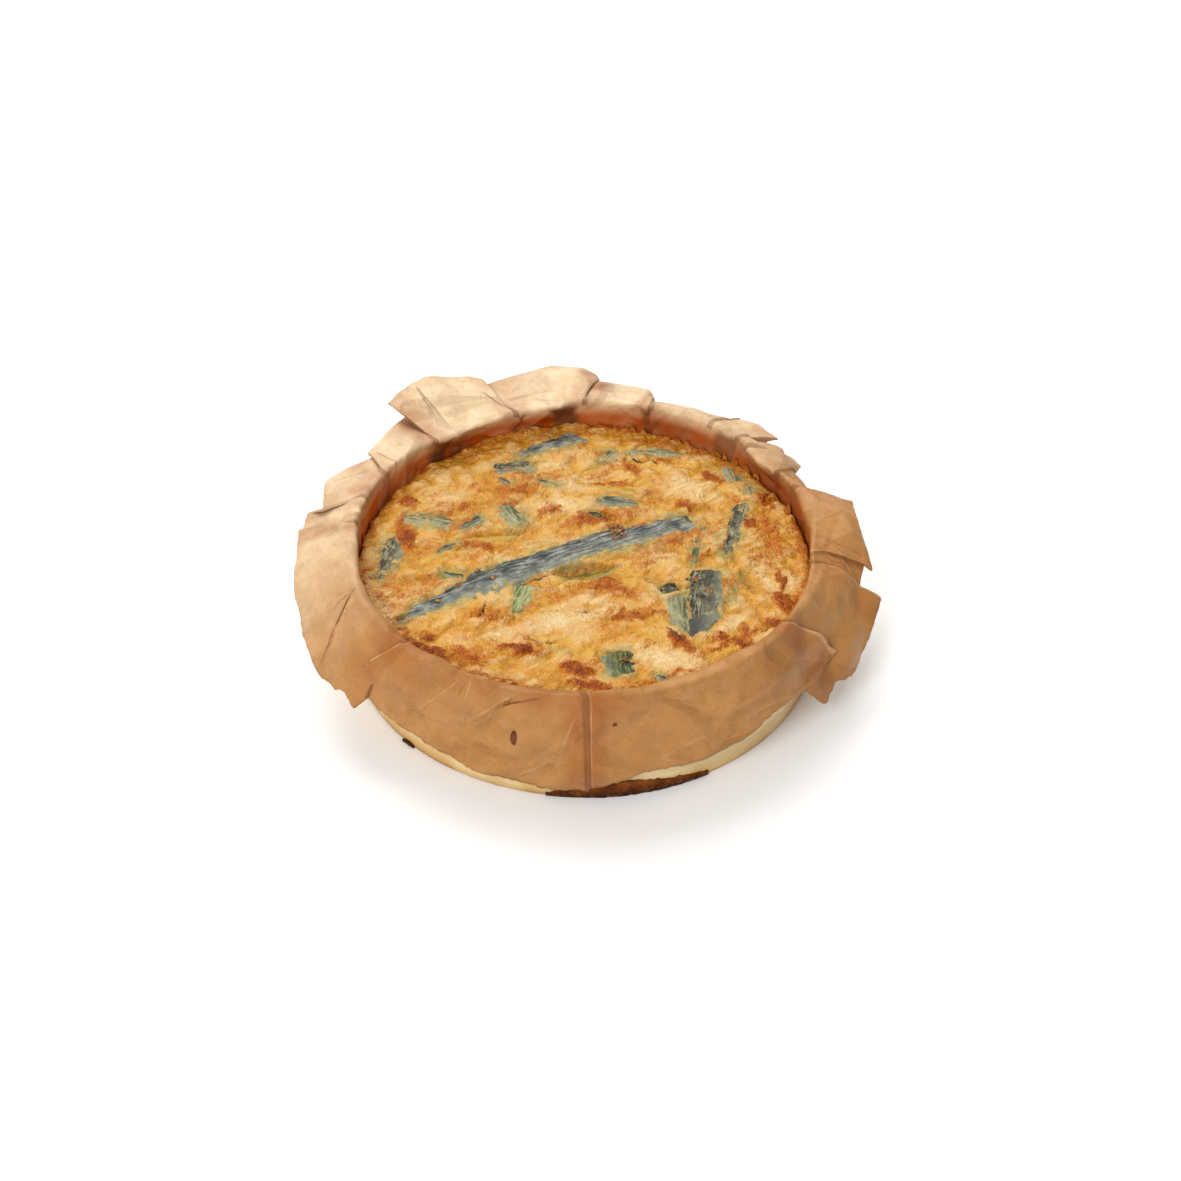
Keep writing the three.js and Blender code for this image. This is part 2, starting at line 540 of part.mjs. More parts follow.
function addPiece(name, geometry, material) {
  const mesh = new THREE.Mesh(geometry, material);
  mesh.name = name;
  quiche.add(mesh);
}

let filling = toSolid(fillingGeometry());
for (const leaf of LEAVES) {
  filling = filling.subtract(toSolid(leafGeometry(leaf, GAP)));
}

addPiece('wood_mould', mouldGeometry(), WOOD);
addPiece('paper_liner', paperGeometry(), PAPER);
addPiece('filling', toGeometry(filling), CUSTARD);
for (const leaf of LEAVES) {
  addPiece(leaf.name, leafGeometry(leaf, 0), LEEK);
}
addPiece('baked_spill', spillGeometry(), CRUST);

export default quiche;
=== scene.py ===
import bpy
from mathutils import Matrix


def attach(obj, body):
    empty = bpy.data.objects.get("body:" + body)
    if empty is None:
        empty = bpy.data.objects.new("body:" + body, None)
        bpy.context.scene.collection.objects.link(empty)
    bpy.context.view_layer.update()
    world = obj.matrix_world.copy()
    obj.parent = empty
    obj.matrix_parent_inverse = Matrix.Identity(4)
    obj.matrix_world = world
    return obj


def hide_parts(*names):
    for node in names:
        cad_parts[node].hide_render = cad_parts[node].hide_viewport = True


bl_info = {
    "name": "Leek quiche in a paper-lined mould",
    "version": (1, 0, 0),
    "blender": (4, 5, 0),
    "location": "3D View > Sidebar > Quiche",
    "description": "Dresses the packed quiche with wood, baking paper, custard and leeks",
    "category": "Mesh",
}

import math

import bpy
import numpy as np

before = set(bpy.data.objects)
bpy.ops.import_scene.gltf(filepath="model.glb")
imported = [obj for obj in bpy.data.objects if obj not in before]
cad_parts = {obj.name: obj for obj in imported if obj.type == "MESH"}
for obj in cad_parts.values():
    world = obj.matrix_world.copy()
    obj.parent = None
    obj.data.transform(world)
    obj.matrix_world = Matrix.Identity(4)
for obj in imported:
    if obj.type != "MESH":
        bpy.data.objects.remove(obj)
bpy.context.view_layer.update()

# Shapes are worked out in millimetres and angles in degrees. Meshes go into Blender in metres.
MM = 0.001

# The mould
MOULD_RADIUS = 90.0
MOULD_HEIGHT = 49.0
MOULD_WALL = 2.4
MOULD_FLOOR = 3.0
MOULD_EDGE = 0.7
GAP = 0.3

# The baking paper
PAPER_LAYER = 0.5
PAPER_FLOOR_Z = MOULD_FLOOR + GAP + PAPER_LAYER / 2
PAPER_WALL_RADIUS = MOULD_RADIUS - MOULD_WALL - GAP - PAPER_LAYER / 2
PAPER_CORNER = 3.4
CREST_Z = 50.3
CREST_ROLL = 1.0
RIM_INSIDE_Z = 49.35
SHOULDER_RADIUS = MOULD_RADIUS + 0.95
SHOULDER_Z = 50.05
LAP = 0.95
TOP_LEVEL = 1.0
RETURN_LEVEL = 0.35
FLAP_ROWS = 27
FOLD_WAVES = 11
SHORT_CREASES = 170
FIRST_CREASED_ROW = 12
FOLD_SPACING = (16, 38)
CREASE_LENGTHS = (3.0, 26.0)
CREASE_WIDTHS = (0.7, 2.0)
WALL_BREAKS_Z = (34.0, 40.4)
RAGGED_TIP = 0.28

# The filling
FILLING_RADIUS = PAPER_WALL_RADIUS - PAPER_LAYER / 2 - GAP
FILLING_BOTTOM_Z = PAPER_FLOOR_Z + PAPER_LAYER / 2 + GAP
FILLING_EDGE_Z = 37.6
FILLING_DOME = 3.2

# How its edge rounds down at left and right, where the toasted rim begins and how wide it is, and
# the way that its curds run
SIDE_ROUND = 3.6
SIDE_DROP = 3.2
TOASTED_FROM = 78.5
TOASTED_WIDTH = 7.0
CURDS_WAY = (0.88, 0.47)

# The leek leaves
LEAF_THICKNESS = 1.3
LEAF_SUNK = 0.9

# The camera: how far it looks from, from what height above the ground and at what angle
VIEW_DISTANCE = 900.0
VIEW_HEIGHT = 25.0
VIEW_ELEVATION = 40.0
VIEW_LENS = 71.2
VIEW_SHIFT = (0.0051, -0.0046)
SENSOR_WIDTH = 36.0

# The lights, each with its place and its size in metres, and how far the floor reaches
KEY_LIGHT = ((-0.4, 1.6, 2.0), 2.0)
FILL_LIGHT = ((-0.9, -1.7, 1.6), 0.9)
AIM = (0.0, 0.0, 0.03)
FLOOR_REACH = 4000.0

# The paper outside the rim, panel by panel with growing azimuth, from the slit at the front.
# Each has the side that lies on top at the pleat after it, 1 for this panel and -1 for the next,
# and its ribs: azimuth and radius at the crest, azimuth, radius and height at the tip, and bow.
PANELS = [
    (1, [(-89.5, 88.6, -88.4, 92.0, 7.2, 0.3), (-77, 88.6, -77.5, 92.6, 13.5, 0.5),
         (-62, 87.2, -64, 94.0, 14.5, 0.7), (-46, 87.5, -52, 96.6, 20, 1.1),
         (-40, 88.4, -40.5, 99.5, 26.6, 1.4), (-37, 89.2, -34.3, 100, 25.2, 1.2),
         (-35.2, 89.4, -25, 102.8, 29.9, 0.4)]),
    (1, [(-33.8, 89.2, -38, 100, 28, 0.8), (-31.5, 88.9, -31.5, 105.4, 13.2, 0.8),
         (-29.5, 88.7, -26.5, 104.4, 18.1, 0.8), (-27, 88.4, -24.8, 107.6, 16.8, 1.0),
         (-22.5, 88.0, -22, 109.8, 17.4, 1.2), (-17.5, 87.3, -16.3, 110.9, 23.0, 1.4),
         (-12, 86.8, -7.5, 112.5, 30.1, 0.2)]),
    (-1, [(-10.6, 86.8, -10.5, 105.9, 36.6, 0.6), (-8, 86.4, -4.2, 106, 40.9, 0.6)]),
    (1, [(-6.6, 86.3, -4.8, 108.4, 39.0, 0.4), (1, 86.8, 2, 105.8, 42.2, 0.6),
         (8, 87.2, 8, 105.2, 44.8, 0.5), (19, 87.8, 13.5, 106.3, 45.6, -0.4)]),
    (-1, [(20.4, 87.6, 12, 97, 38, 2.2), (23.5, 86.8, 19, 94, 38, 2.0),
          (27, 86.2, 26.5, 93, 38, 2.0)]),
    (1, [(28.4, 85.0, 27, 92.8, 46.8, 0.2), (34, 82.6, 28.8, 97.2, 45.7, 0.4),
         (40, 84.6, 32.3, 98, 45.4, 0.4)]),
    (-1, [(41.4, 88.2, 30, 95, 44.5, 0.6), (43, 88.0, 36.8, 99.3, 46.4, 0.6),
          (45, 87.6, 42, 98.5, 44.5, 0.6)]),
    (-1, [(46.4, 87.6, 40.6, 101.7, 44.2, 0.5), (50, 87.8, 46.7, 103, 46.4, 0.6),
          (54, 88.4, 51.5, 101, 46.4, 0.6)]),
    (-1, [(55.4, 88.6, 53, 96.5, 34, 5.4), (63, 88.9, 63, 97, 31, 5.6),
          (71.5, 88.3, 73, 96.4, 34, 5.2)]),
    (-1, [(72.9, 87.2, 72.7, 96.6, 46.8, 0.6), (76, 87.3, 74.4, 99.7, 48.9, 0.8),
          (84, 87.4, 80.5, 101.2, 48.9, 0.9), (89.5, 87.5, 88.5, 104.6, 49.2, 0.8)]),
    (-1, [(90.9, 87.5, 86.6, 104.4, 47.8, 0.8), (92.4, 87.2, 87.5, 107.2, 48.7, 0.9),
          (95, 86.0, 90.3, 110.6, 50.2, 1.2), (100.5, 84.4, 97, 111.4, 50.7, 1.2),
          (105, 83.9, 105.2, 108.2, 51.0, 1.0), (109, 83.6, 117, 104.4, 51.6, 0.3)]),
    (1, [(110.4, 83.4, 113.1, 106.2, 51.6, 0.2), (113, 83.1, 115.7, 108.2, 52.6, 0.6),
         (118, 82.8, 119.9, 112.4, 53.0, 1.0), (123.5, 82.6, 123.2, 115.4, 54.5, 1.0),
         (128, 82.6, 126.6, 115.9, 54.5, 0.3), (131, 82.7, 131.4, 114, 54.6, 1.2),
         (134, 84.2, 135, 111.9, 53.6, 0.4)]),
    (1, [(135.4, 85.2, 132.5, 107.5, 48.8, 0.4), (144, 87.6, 140, 103.6, 49.3, 0.8),
         (152.6, 88.6, 149, 100, 49.4, 0.6)]),
    (-1, [(154, 89.0, 147.5, 98, 49.4, 0.5), (159, 89.2, 161, 106.1, 51.0, 1.0),
          (161.5, 89.2, 163.6, 105.4, 51.2, 0.8), (164, 89.2, 171.6, 101.8, 50.2, 0.6)]),
    (-1, [(165.4, 89.2, 171, 107.5, 45.7, 0.5), (170, 88.6, 174.5, 108.2, 44.8, 0.8),
          (174.4, 88.0, 178.5, 107.6, 43.4, 0.6)]),
    (-1, [(175.8, 87.9, 175.5, 109.2, 44.1, 0.5), (183, 86.4, 182.5, 109, 40.0, 1.2),
          (190, 86.8, 189, 110.5, 34.8, 1.4), (195, 87.8, 193.5, 110.3, 34.4, 1.2),
          (198.5, 88.7, 200.3, 111, 32.5, 0.8), (200.7, 89.0, 208.5, 112.5, 29.4, 0.4),
          (209, 89.3, 214.3, 110.8, 28.0, 1.2), (216.5, 89.0, 216.2, 108.7, 28.6, 0.8),
          (220.5, 89.2, 218.9, 108.8, 23.4, 0.8), (223, 89.4, 220.6, 104.2, 28.4, 0.6)]),
    (-1, [(224.4, 89.8, 214.3, 103.3, 29.6, 0.3), (226.5, 89.2, 217, 104.5, 24.2, 0.9),
          (229, 88.4, 219.8, 102.4, 27.6, 1.2), (234.5, 87.2, 227.7, 100.6, 21.4, 1.5),
          (240, 88.8, 236.8, 98, 16.6, 1.2), (247, 89.2, 245.5, 95.8, 12.4, 0.8),
          (256, 89.2, 256.3, 94.2, 8.8, 0.6), (264, 89.4, 264.6, 93.4, 6.4, 0.4),
          (269.1, 89.0, 270.6, 93.2, 5.2, 0.2)]),
]

# Creases pressed into the paper: both ends, height (negative is a valley), width of its side,
# and how clearly its line shows, above zero as a light line of painted highlight and below zero as
# a brown one. A program worked the ends out from places read off the photo, as it did the drops
# below.
CREASES = [
    ((-68.9, 90.9, 55.5), (-53.3, 68.0, 50.6), -0.5, 1.8, -0.5),
    ((-68.9, 90.9, 55.5), (-62.0, 72.0, 51.5), 0.4, 2.5, 0.0),
    ((-41.7, 88.9, 52.9), (-28.1, 79.4, 50.3), -0.5, 1.6, -0.7),
    ((-27.5, 80.0, 49.5), (-23.1, 81.6, 38.7), -0.35, 1.2, -0.5),
    ((-6.0, 104.7, 51.8), (-11.2, 83.6, 49.8), 0.35, 2.6, 0.0),
    ((4.7, 99.3, 49.6), (-3.1, 86.0, 49.0), -0.3, 1.8, -0.3),
    ((27.6, 93.7, 49.5), (22.6, 83.2, 47.0), -0.3, 1.8, -0.4),
    ((-84.0, -32.2, 50.4), (-91.8, -42.8, 40.8), -0.7, 1.5, -1.6),
    ((-91.8, -42.8, 40.8), (-97.2, -53.5, 30.7), -0.4, 1.2, -1.0),
    ((-90.6, -44.6, 40.2), (-96.0, -53.0, 32.0), 0.3, 0.9, -0.4),
    ((-85.5, -32.4, 49.9), (-92.3, -31.7, 45.4), -0.3, 1.1, -0.5),
    ((-92.3, -31.7, 45.4), (-95.1, -34.8, 42.2), -0.25, 1.1, -0.4),
    ((-85.5, -39.7, 47.1), (-78.8, -44.3, 50.3), -0.25, 1.1, -0.3),
    ((-99.0, 33.2, 50.5), (-83.2, 40.3, 50.0), -0.3, 1.6, -0.2),
    ((-82.3, 50.4, 51.2), (-73.5, 45.4, 46.1), -0.4, 1.4, -0.8),
    ((-73.5, 45.4, 46.1), (-72.9, 40.8, 38.7), -0.3, 1.2, -0.7),
    ((-39.9, -81.0, 50.3), (-42.7, -84.6, 31.1), 0.55, 1.8, 0.5),
    ((-44.0, -80.1, 48.3), (-59.3, -77.6, 31.9), 0.6, 2.4, 0.6),
    ((-25.4, -87.5, 47.7), (-40.7, -84.9, 34.8), 0.5, 1.6, 0.7),
    ((-30.9, -86.9, 39.6), (-56.8, -72.7, 12.0), 0.7, 2.2, 0.8),
    ((-46.0, -83.0, 28.0), (-62.0, -72.0, 29.0), -0.6, 4.0, 0.0),
    ((-15.2, -89.6, 49.1), (-29.8, -87.0, 42.1), -0.5, 1.2, -1.2),
    ((-3.7, -91.0, 40.7), (-8.2, -91.7, 26.0), 0.45, 1.5, 0.6),
    ((-8.2, -91.7, 26.0), (-9.2, -92.1, 18.0), 0.4, 1.4, 0.4),
    ((-11.0, -91.8, 21.1), (-23.1, -91.0, 12.4), 0.45, 1.5, 0.7),
    ((-9.0, -91.8, 24.0), (-20.0, -91.2, 20.0), -0.4, 2.4, 0.0),
    ((27.4, -87.5, 47.6), (34.7, -85.8, 43.4), -0.45, 1.6, -0.1),
    ((42.7, -84.6, 26.6), (32.8, -88.1, 23.0), 0.5, 1.6, 0.5),
    ((32.8, -88.1, 23.0), (26.9, -89.7, 21.1), 0.4, 1.4, 0.3),
    ((27.9, -89.4, 20.0), (37.9, -86.6, 15.6), 0.45, 1.8, 0.4),
    ((42.1, -83.6, 47.5), (45.2, -81.8, 30.5), -0.4, 4.0, 0.0),
    ((80.8, -59.6, 28.4), (54.0, -79.3, 26.0), 0.5, 2.0, 0.2),
    ((54.0, -79.3, 26.0), (19.8, -91.6, 20.4), 0.35, 2.2, 0.1),
    ((87.4, 23.0, 50.6), (87.4, -1.6, 50.5), 0.3, 2.0, 0.2),
    ((87.4, -1.6, 50.5), (105.3, -7.4, 42.6), -0.5, 1.6, -0.4),
    ((92.0, -6.0, 49.5), (102.0, -15.0, 41.0), 0.45, 1.5, 0.4),
    ((90.6, -14.5, 49.4), (97.9, -12.1, 44.5), 0.4, 1.4, -0.3),
    ((97.9, -12.1, 44.5), (99.4, -19.2, 41.7), -0.35, 1.4, -0.2),
    ((92.0, 28.0, 49.0), (100.0, 8.0, 44.0), 0.4, 3.0, 0.2),
]

# Where the paper is doubled or soaked and so darker: middle, reach and strength
SOAKED = [
    ((78.0, -57.0, 45.0), 9.0, 0.4), ((86.0, -51.0, 33.0), 12.0, 0.45),
    ((95.0, -44.0, 20.0), 10.0, 0.3), ((70.0, -66.0, 44.0), 10.0, 0.2),
    ((93.0, -14.0, 47.0), 6.0, 0.35), ((101.0, -22.0, 36.0), 9.0, 0.2),
    ((0.2, 105.6, 51.2), 4.0, 0.6), ((6.0, 98.0, 50.0), 5.0, 0.8),
    ((-72.0, 70.0, 50.5), 8.0, 0.6), ((-64.0, 64.0, 50.0), 7.0, 0.5),
    ((-70.0, -58.0, 48.0), 8.0, 0.5), ((-79.0, -60.0, 38.0), 7.0, 0.45),
    ((-60.0, -68.0, 46.0), 12.0, 0.45), ((-44.0, -78.0, 48.0), 9.0, 0.4),
    ((-88.0, 4.0, 49.5), 5.0, 0.5), ((-84.0, 30.0, 49.5), 6.0, 0.5),
    ((8.0, -91.0, 47.0), 8.0, 0.6), ((-5.0, -91.3, 38.0), 5.0, 0.5),
    ((-16.0, -89.0, 49.6), 9.0, 0.6), ((-34.0, -84.0, 50.2), 9.0, 0.45),
]

# Facets in the finish of the paper: turn of their pattern, facets a metre, and slope
PAPER_FACETS = [
    ((0.4, 0.9, 0.2), 20.0, 0.17), ((1.1, 0.3, 0.8), 34.0, 0.13), ((0.2, 1.3, 1.9), 70.0, 0.06),
]

# Pleats that show inside the rim: from and to azimuth, and how dark the doubled paper and the
# painted shade in the pleat are
GUSSETS = [
    (130.0, 135.5, 1.0), (124.0, 130.0, 0.35), (92.0, 98.5, 1.0), (71.6, 74.0, 0.8),
    (45.0, 53.0, 0.85), (40.5, 45.0, 0.5), (152.0, 156.0, 0.55), (174.0, 178.5, 0.5),
    (18.0, 22.0, 0.7), (27.0, 29.5, 0.6), (108.0, 110.6, 0.5),
]

# Dried drops on the paper: middle, half width and half height
DROPS = [
    ((-24.6, -89.6, 30.8), 1.3, 3.2), ((10.7, -92.0, 38.0), 1.0, 1.2),
    ((-5.1, -91.7, 25.5), 0.5, 0.8), ((-79.0, -61.4, 37.8), 0.5, 0.5),
    ((-56.3, 66.5, 49.6), 0.5, 0.5), ((-92.7, -48.3, 37.5), 0.5, 1.5),
]

# Leek leaves: name, start, end and sideways bow of the middle line, half widths along it, its
# finish, and how much custard has run over it
LEAVES = [
    ("leek_long_strip", (-70, -37.5), (42.4, 20.2), 4.8,
     (1.6, 4.6, 6.2, 6.6, 6.0, 5.2, 4.8), "slate", 0.22),
    ("leek_right_strip", (63.4, 33.8), (53.5, -2.6), -0.6, (2.8, 3.2, 3.1, 2.5, 1.6), "dark", 0.4),
    ("leek_right_chip", (64.4, 44.6), (66.2, 37.6), 0, (1.8, 2.5, 2.0), "grey", 0.4),
    ("leek_thin_edge", (46.4, 17.4), (42.2, -5), -1.2, (0.9, 1.4, 1.3, 0.8), "green", 0.3),
    ("leek_broad_right", (46.6, -8.8), (40.6, -47.5), 1.2, (5.4, 7.0, 6.6, 5.0, 1.6), "dark", 0.12),
    ("leek_broad_left", (34.4, -25.4), (37.2, -46), 0, (3.6, 4.2, 3.6, 1.4), "grey", 0.3),
    ("leek_dark_chip", (29.2, -21), (35.4, -18.6), 0, (2.0, 3.0, 2.2), "dark", 0.0),
    ("leek_front_square", (11.6, -55.6), (12.6, -67.6), 0, (4.6, 5.4, 5.3, 4.2), "green", 0.35),
    ("leek_front_chip", (25.6, -67.8), (30.8, -69.8), 0, (0.8, 1.4, 0.8), "dark", 0.2),
    ("leek_back_dark", (-27, 62.6), (-0.6, 76.8), 0.8, (2.0, 3.6, 4.6, 6.0, 3.8), "slate", 0.35),
    ("leek_back_left", (-36, 53.2), (-20.6, 55.6), 0.6, (3.0, 4.8, 4.6, 3.0), "dark", 0.38),
    ("leek_back_sliver", (-34, 47.6), (-28.4, 41.4), 0, (0.8, 1.5, 0.8), "dark", 0.35),
    ("leek_back_green", (-20, 46.4), (-10.8, 42.4), 0.4, (1.2, 2.2, 1.2), "dark", 0.3),
    ("leek_back_right", (17.4, 66.4), (40.6, 66.0), 0.8, (2.2, 3.2, 3.2, 1.8), "grey", 0.4),
    ("leek_back_fold", (7.6, 57), (12.4, 66.6), 0, (2.2, 3.2, 2.6), "grey", 0.55),
    ("leek_right_back", (56.8, 58.2), (59.8, 47), 0, (2.0, 3.4, 2.8), "grey", 0.45),
    ("leek_grey_leaf", (-31.8, 29.6), (-24.6, 16.6), 0, (3.8, 4.6, 4.2), "grey", 0.32),
    ("leek_blue_chip", (-48, 14.2), (-39.4, 21.2), 0, (1.6, 2.9, 2.6), "blue", 0.15),
    ("leek_grey_band", (-71, 23.4), (-51.6, 18.2), 0.6, (2.0, 3.6, 3.8, 3.0), "grey", 0.5),
    ("leek_left_sliver", (-56, 0.8), (-48.2, 6), 0.5, (0.7, 1.3, 0.7), "dark", 0.1),
    ("leek_left_dark", (-73.4, 12.4), (-78.2, -14.4), 1.4, (3.0, 3.8, 4.0, 2.6), "dark", 0.5),
    ("leek_left_green", (-53.6, -10.6), (-45.6, -12.8), 0, (0.9, 1.7, 0.9), "green", 0.2),
    ("leek_small_leaf", (-21, -18.8), (-25.4, -34.4), 0, (4.0, 3.6, 2.4, 1.2), "pale", 0.42),
    ("leek_olive_strip", (-8.8, -12.8), (13, -6.2), 0, (1.4, 2.2, 2.2, 1.2), "olive", 0.3),
    ("leek_crescent", (-6.2, 47.6), (28.2, 36.8), -2.4, (0.8, 1.9, 1.9, 0.8), "yellow", 0.1),
    ("leek_centre_leaf", (3.2, 31.6), (20.8, 30.2), 0.6, (2.2, 3.4, 3.4, 1.6), "blue", 0.35),
    ("leek_centre_chip", (0.8, 24.8), (9, 22.8), 0, (0.9, 1.5, 0.9), "dark", 0.0),
    ("leek_left_crescent", (-43.6, 9.4), (-24.8, 11.6), -0.8, (0.9, 1.8, 1.8, 0.9), "yellow", 0.1),
]

# The leaf with a smooth blue bloom at its front end
BLOOMED = "leek_broad_right"

# Finishes of the leaves: lines along them, body, pale ribs, and share of pale grains on them
LEEK_TONES = {
    "slate": ("101716", "525a58", "c2c4b6", 0.25),
    "dark": ("080b05", "26291a", "b8b088", 0.9),
    "grey": ("3c4026", "86835c", "c2ba8c", 0.3),
    "green": ("0f1a08", "3c4a20", "9aa060", 0.4),
    "blue": ("1c261a", "5c6852", "b6b48c", 0.3),
    "pale": ("3c5020", "8c9458", "ccc690", 0.1),
    "olive": ("5a4a06", "967a14", "b89434", 0.0),
    "yellow": ("a87408", "c89410", "d8ac30", 0.0),
}

# Hollows in the baked top: middle, half length, half width, turn in degrees, depth
HOLLOWS = [
    (39.5, 73, 24, 9, -28, 2.6), (2.1, -10, 13, 5.5, 17, 1.9), (32.5, -20.5, 6, 4.4, 20, 1.3),
    (5, 23, 8, 3.6, -12, 1.1), (-64, -12, 8, 3.6, -20, 0.9), (-44, 5, 12, 3, 20, 0.6),
]

# Steep-sided pits in the top: middle, half length, half width, turn in degrees, depth
PITS = [
    (1.0, -9.5, 12.5, 4.0, 12, 2.4), (32, -20.5, 4.6, 3.2, 15, 2.2),
    (5.5, 23.6, 6.0, 1.8, -12, 1.6), (-34, 11, 10, 1.8, 8, 1.2), (62, -16, 8, 2.4, -68, 1.2),
    (-63, -13, 6, 2.0, -12, 1.2), (-46, 4, 5, 1.6, 40, 1.0), (26, -16, 4, 1.8, -20, 1.0),
]

# The next four tables hold ovals on the top: middle, half length, half width, turn in degrees and
# strength. A program worked most of them out from places read off the photo. These are
# the browned ones.
BROWNED = [
    (-48, 62, 16, 5.5, 32, 0.26), (-69, 13, 11, 2.7, -79, 0.85), (-76, -26, 12, 5.5, -65, 0.25),
    (-69, 34, 4, 2.7, -38, 0.7), (-47, 29, 5, 2.3, 33, 0.55), (-26, 39, 9, 3.2, 7, 0.6),
    (-39, 5, 8, 3.4, -25, 0.62), (-14, 26, 4, 3.1, 16, 0.6), (3, 21, 12, 3.0, 17, 0.72),
    (11, 43, 10, 1.3, -4, 0.8), (19, 54, 7, 2.6, -50, 0.7), (31, 60, 5, 2.6, -15, 0.65),
    (51, 49, 5, 3.2, -23, 0.95), (39, 30, 4, 2.2, -42, 0.85), (63, 21, 5, 2.3, -65, 0.85),
    (71, 34, 4, 2.7, -49, 0.75), (71, 17, 17, 5.4, -79, 0.5), (82, 14, 13, 3.1, -87, 0.42),
    (76, -28, 9, 4.2, -53, 0.78), (71, -39, 6, 2.8, -17, 0.9), (74, -15, 7, 1.1, -89, 0.95),
    (58, -51, 5, 3.3, -14, 1.0), (59, -43, 4, 1.6, -71, 0.75), (50, -48, 3, 1.5, 24, 0.95),
    (35, -51, 6, 2.7, -55, 0.95), (18, -36, 11, 3.2, 10, 0.75), (8, -15, 5, 1.8, -4, 0.85),
    (10, -21, 12, 3.8, -15, 0.62), (-57, -46, 3, 2.1, -15, 1.0), (-55, -54, 12, 2.4, -33, 0.75),
    (-44, -58, 10, 3.8, -20, 0.72), (-25, -55, 7, 2.2, -5, 0.8), (-21, -57, 6, 2.0, 6, 0.85),
    (-2, -65, 6, 3.1, -17, 1.05), (1, -73, 10, 2.6, -15, 0.75), (-35, -36, 9, 4.2, -19, 0.5),
    (-73, -15, 14, 3.1, -69, 0.3), (24, 14, 4, 2.3, -27, 0.8), (34, 7, 3, 2.2, -33, 0.65),
    (60, 34, 4, 1.5, -53, 0.5), (44, -1, 5, 1.6, 31, 0.7), (8, 57, 4, 2.5, -25, 0.45),
    (-54, 79, 9, 2.7, 21, 0.5), (-6, 78, 13, 3.4, 11, 0.45), (27, 74, 13, 4.0, -13, 0.5),
    (58, 59, 8, 2.6, -55, 0.5), (53, -50, 15, 1.5, 33, 0.65), (25, -70, 15, 1.5, 25, 0.55),
    (-64, -46, 12, 1.3, -48, 0.5), (-34, -69, 21, 1.5, -22, 0.45), (78, -29, 9, 1.1, 73, 0.8),
    (24, -51, 5, 2.0, 31, 0.35), (-8, 1, 9, 2.2, 29, 0.35), (-18, -53, 8, 2.4, -39, 0.4),
    (-47, 18, 5, 2.2, 42, 0.5), (-32, 54, 7, 2.5, 24, 0.45), (-1, 71, 5, 2.4, 34, 0.4),
]

# Pale, moist places
PALE = [
    (41, 41, 11, 5.6, -24, 0.75), (-4, 44, 9, 4.4, 20, 0.8), (-8, 30, 12, 4.4, -3, 0.8),
    (-53, 36, 9, 3.6, 28, 0.7), (-33, -24, 9, 4.1, -32, 0.5), (-7, -39, 20, 3.3, 20, 0.85),
    (-59, -53, 5, 2.1, -13, 0.7), (28, -58, 12, 4.3, -15, 1.0), (56, -39, 9, 2.3, 46, 0.8),
    (69, -15, 10, 2.5, -70, 0.85), (29, -25, 10, 2.6, -60, 0.7), (3, -35, 5, 2.8, -7, 0.6),
    (-27, -7, 7, 2.6, -38, 0.7), (27, -2, 7, 3.5, 15, 0.5), (-48, -22, 7, 2.8, -17, 0.5),
    (-2, 7, 9, 3.0, -13, 0.5), (12, 58, 9, 2.3, 38, 0.5), (47, 23, 7, 2.4, 15, 0.4),
    (-40, 56, 7, 2.5, 24, 0.5), (-16, 56, 8, 3.1, 24, 0.5), (-31, -46, 9, 2.1, 25, 0.5),
    (4, -28, 7, 2.3, -12, 0.7), (50, 8, 7, 3.0, -15, 0.4), (76, -14, 5, 4.2, -80, 0.7),
    (-74, -30, 8, 3.0, -60, 0.8),
]

# Deep yellow places, mostly hollows where the custard stayed moist
YELLOW = [
    (-65, -15, 7, 2.3, -9, 0.9), (-61, 6, 3, 2.4, 8, 0.7), (-1, -9, 10, 3.2, 0, 1.0),
    (10, -12, 4, 2.9, -16, 0.8), (-17, -41, 4, 2.1, -22, 0.6), (30, 34, 5, 2.0, -53, 0.8),
    (43, 28, 5, 1.8, -67, 0.85), (8, 42, 15, 2.5, -16, 0.7), (-30, 13, 12, 2.4, 12, 0.7),
    (-21, 7, 7, 3.0, 6, 0.5), (-2, -25, 9, 1.7, 9, 0.6), (84, 12, 11, 1.6, -87, 0.7),
    (27, -16, 4, 2.3, -23, 0.8), (-48, -29, 7, 2.1, -27, 0.5), (-36, -45, 7, 2.2, -11, 0.5),
    (61, -16, 6, 1.7, -65, 0.6), (-6, -56, 5, 2.1, -22, 0.5), (49, -59, 10, 1.9, 33, 0.6),
    (56, -37, 7, 1.2, 59, 0.5), (4, 21, 3, 1.8, -26, 0.5),
]

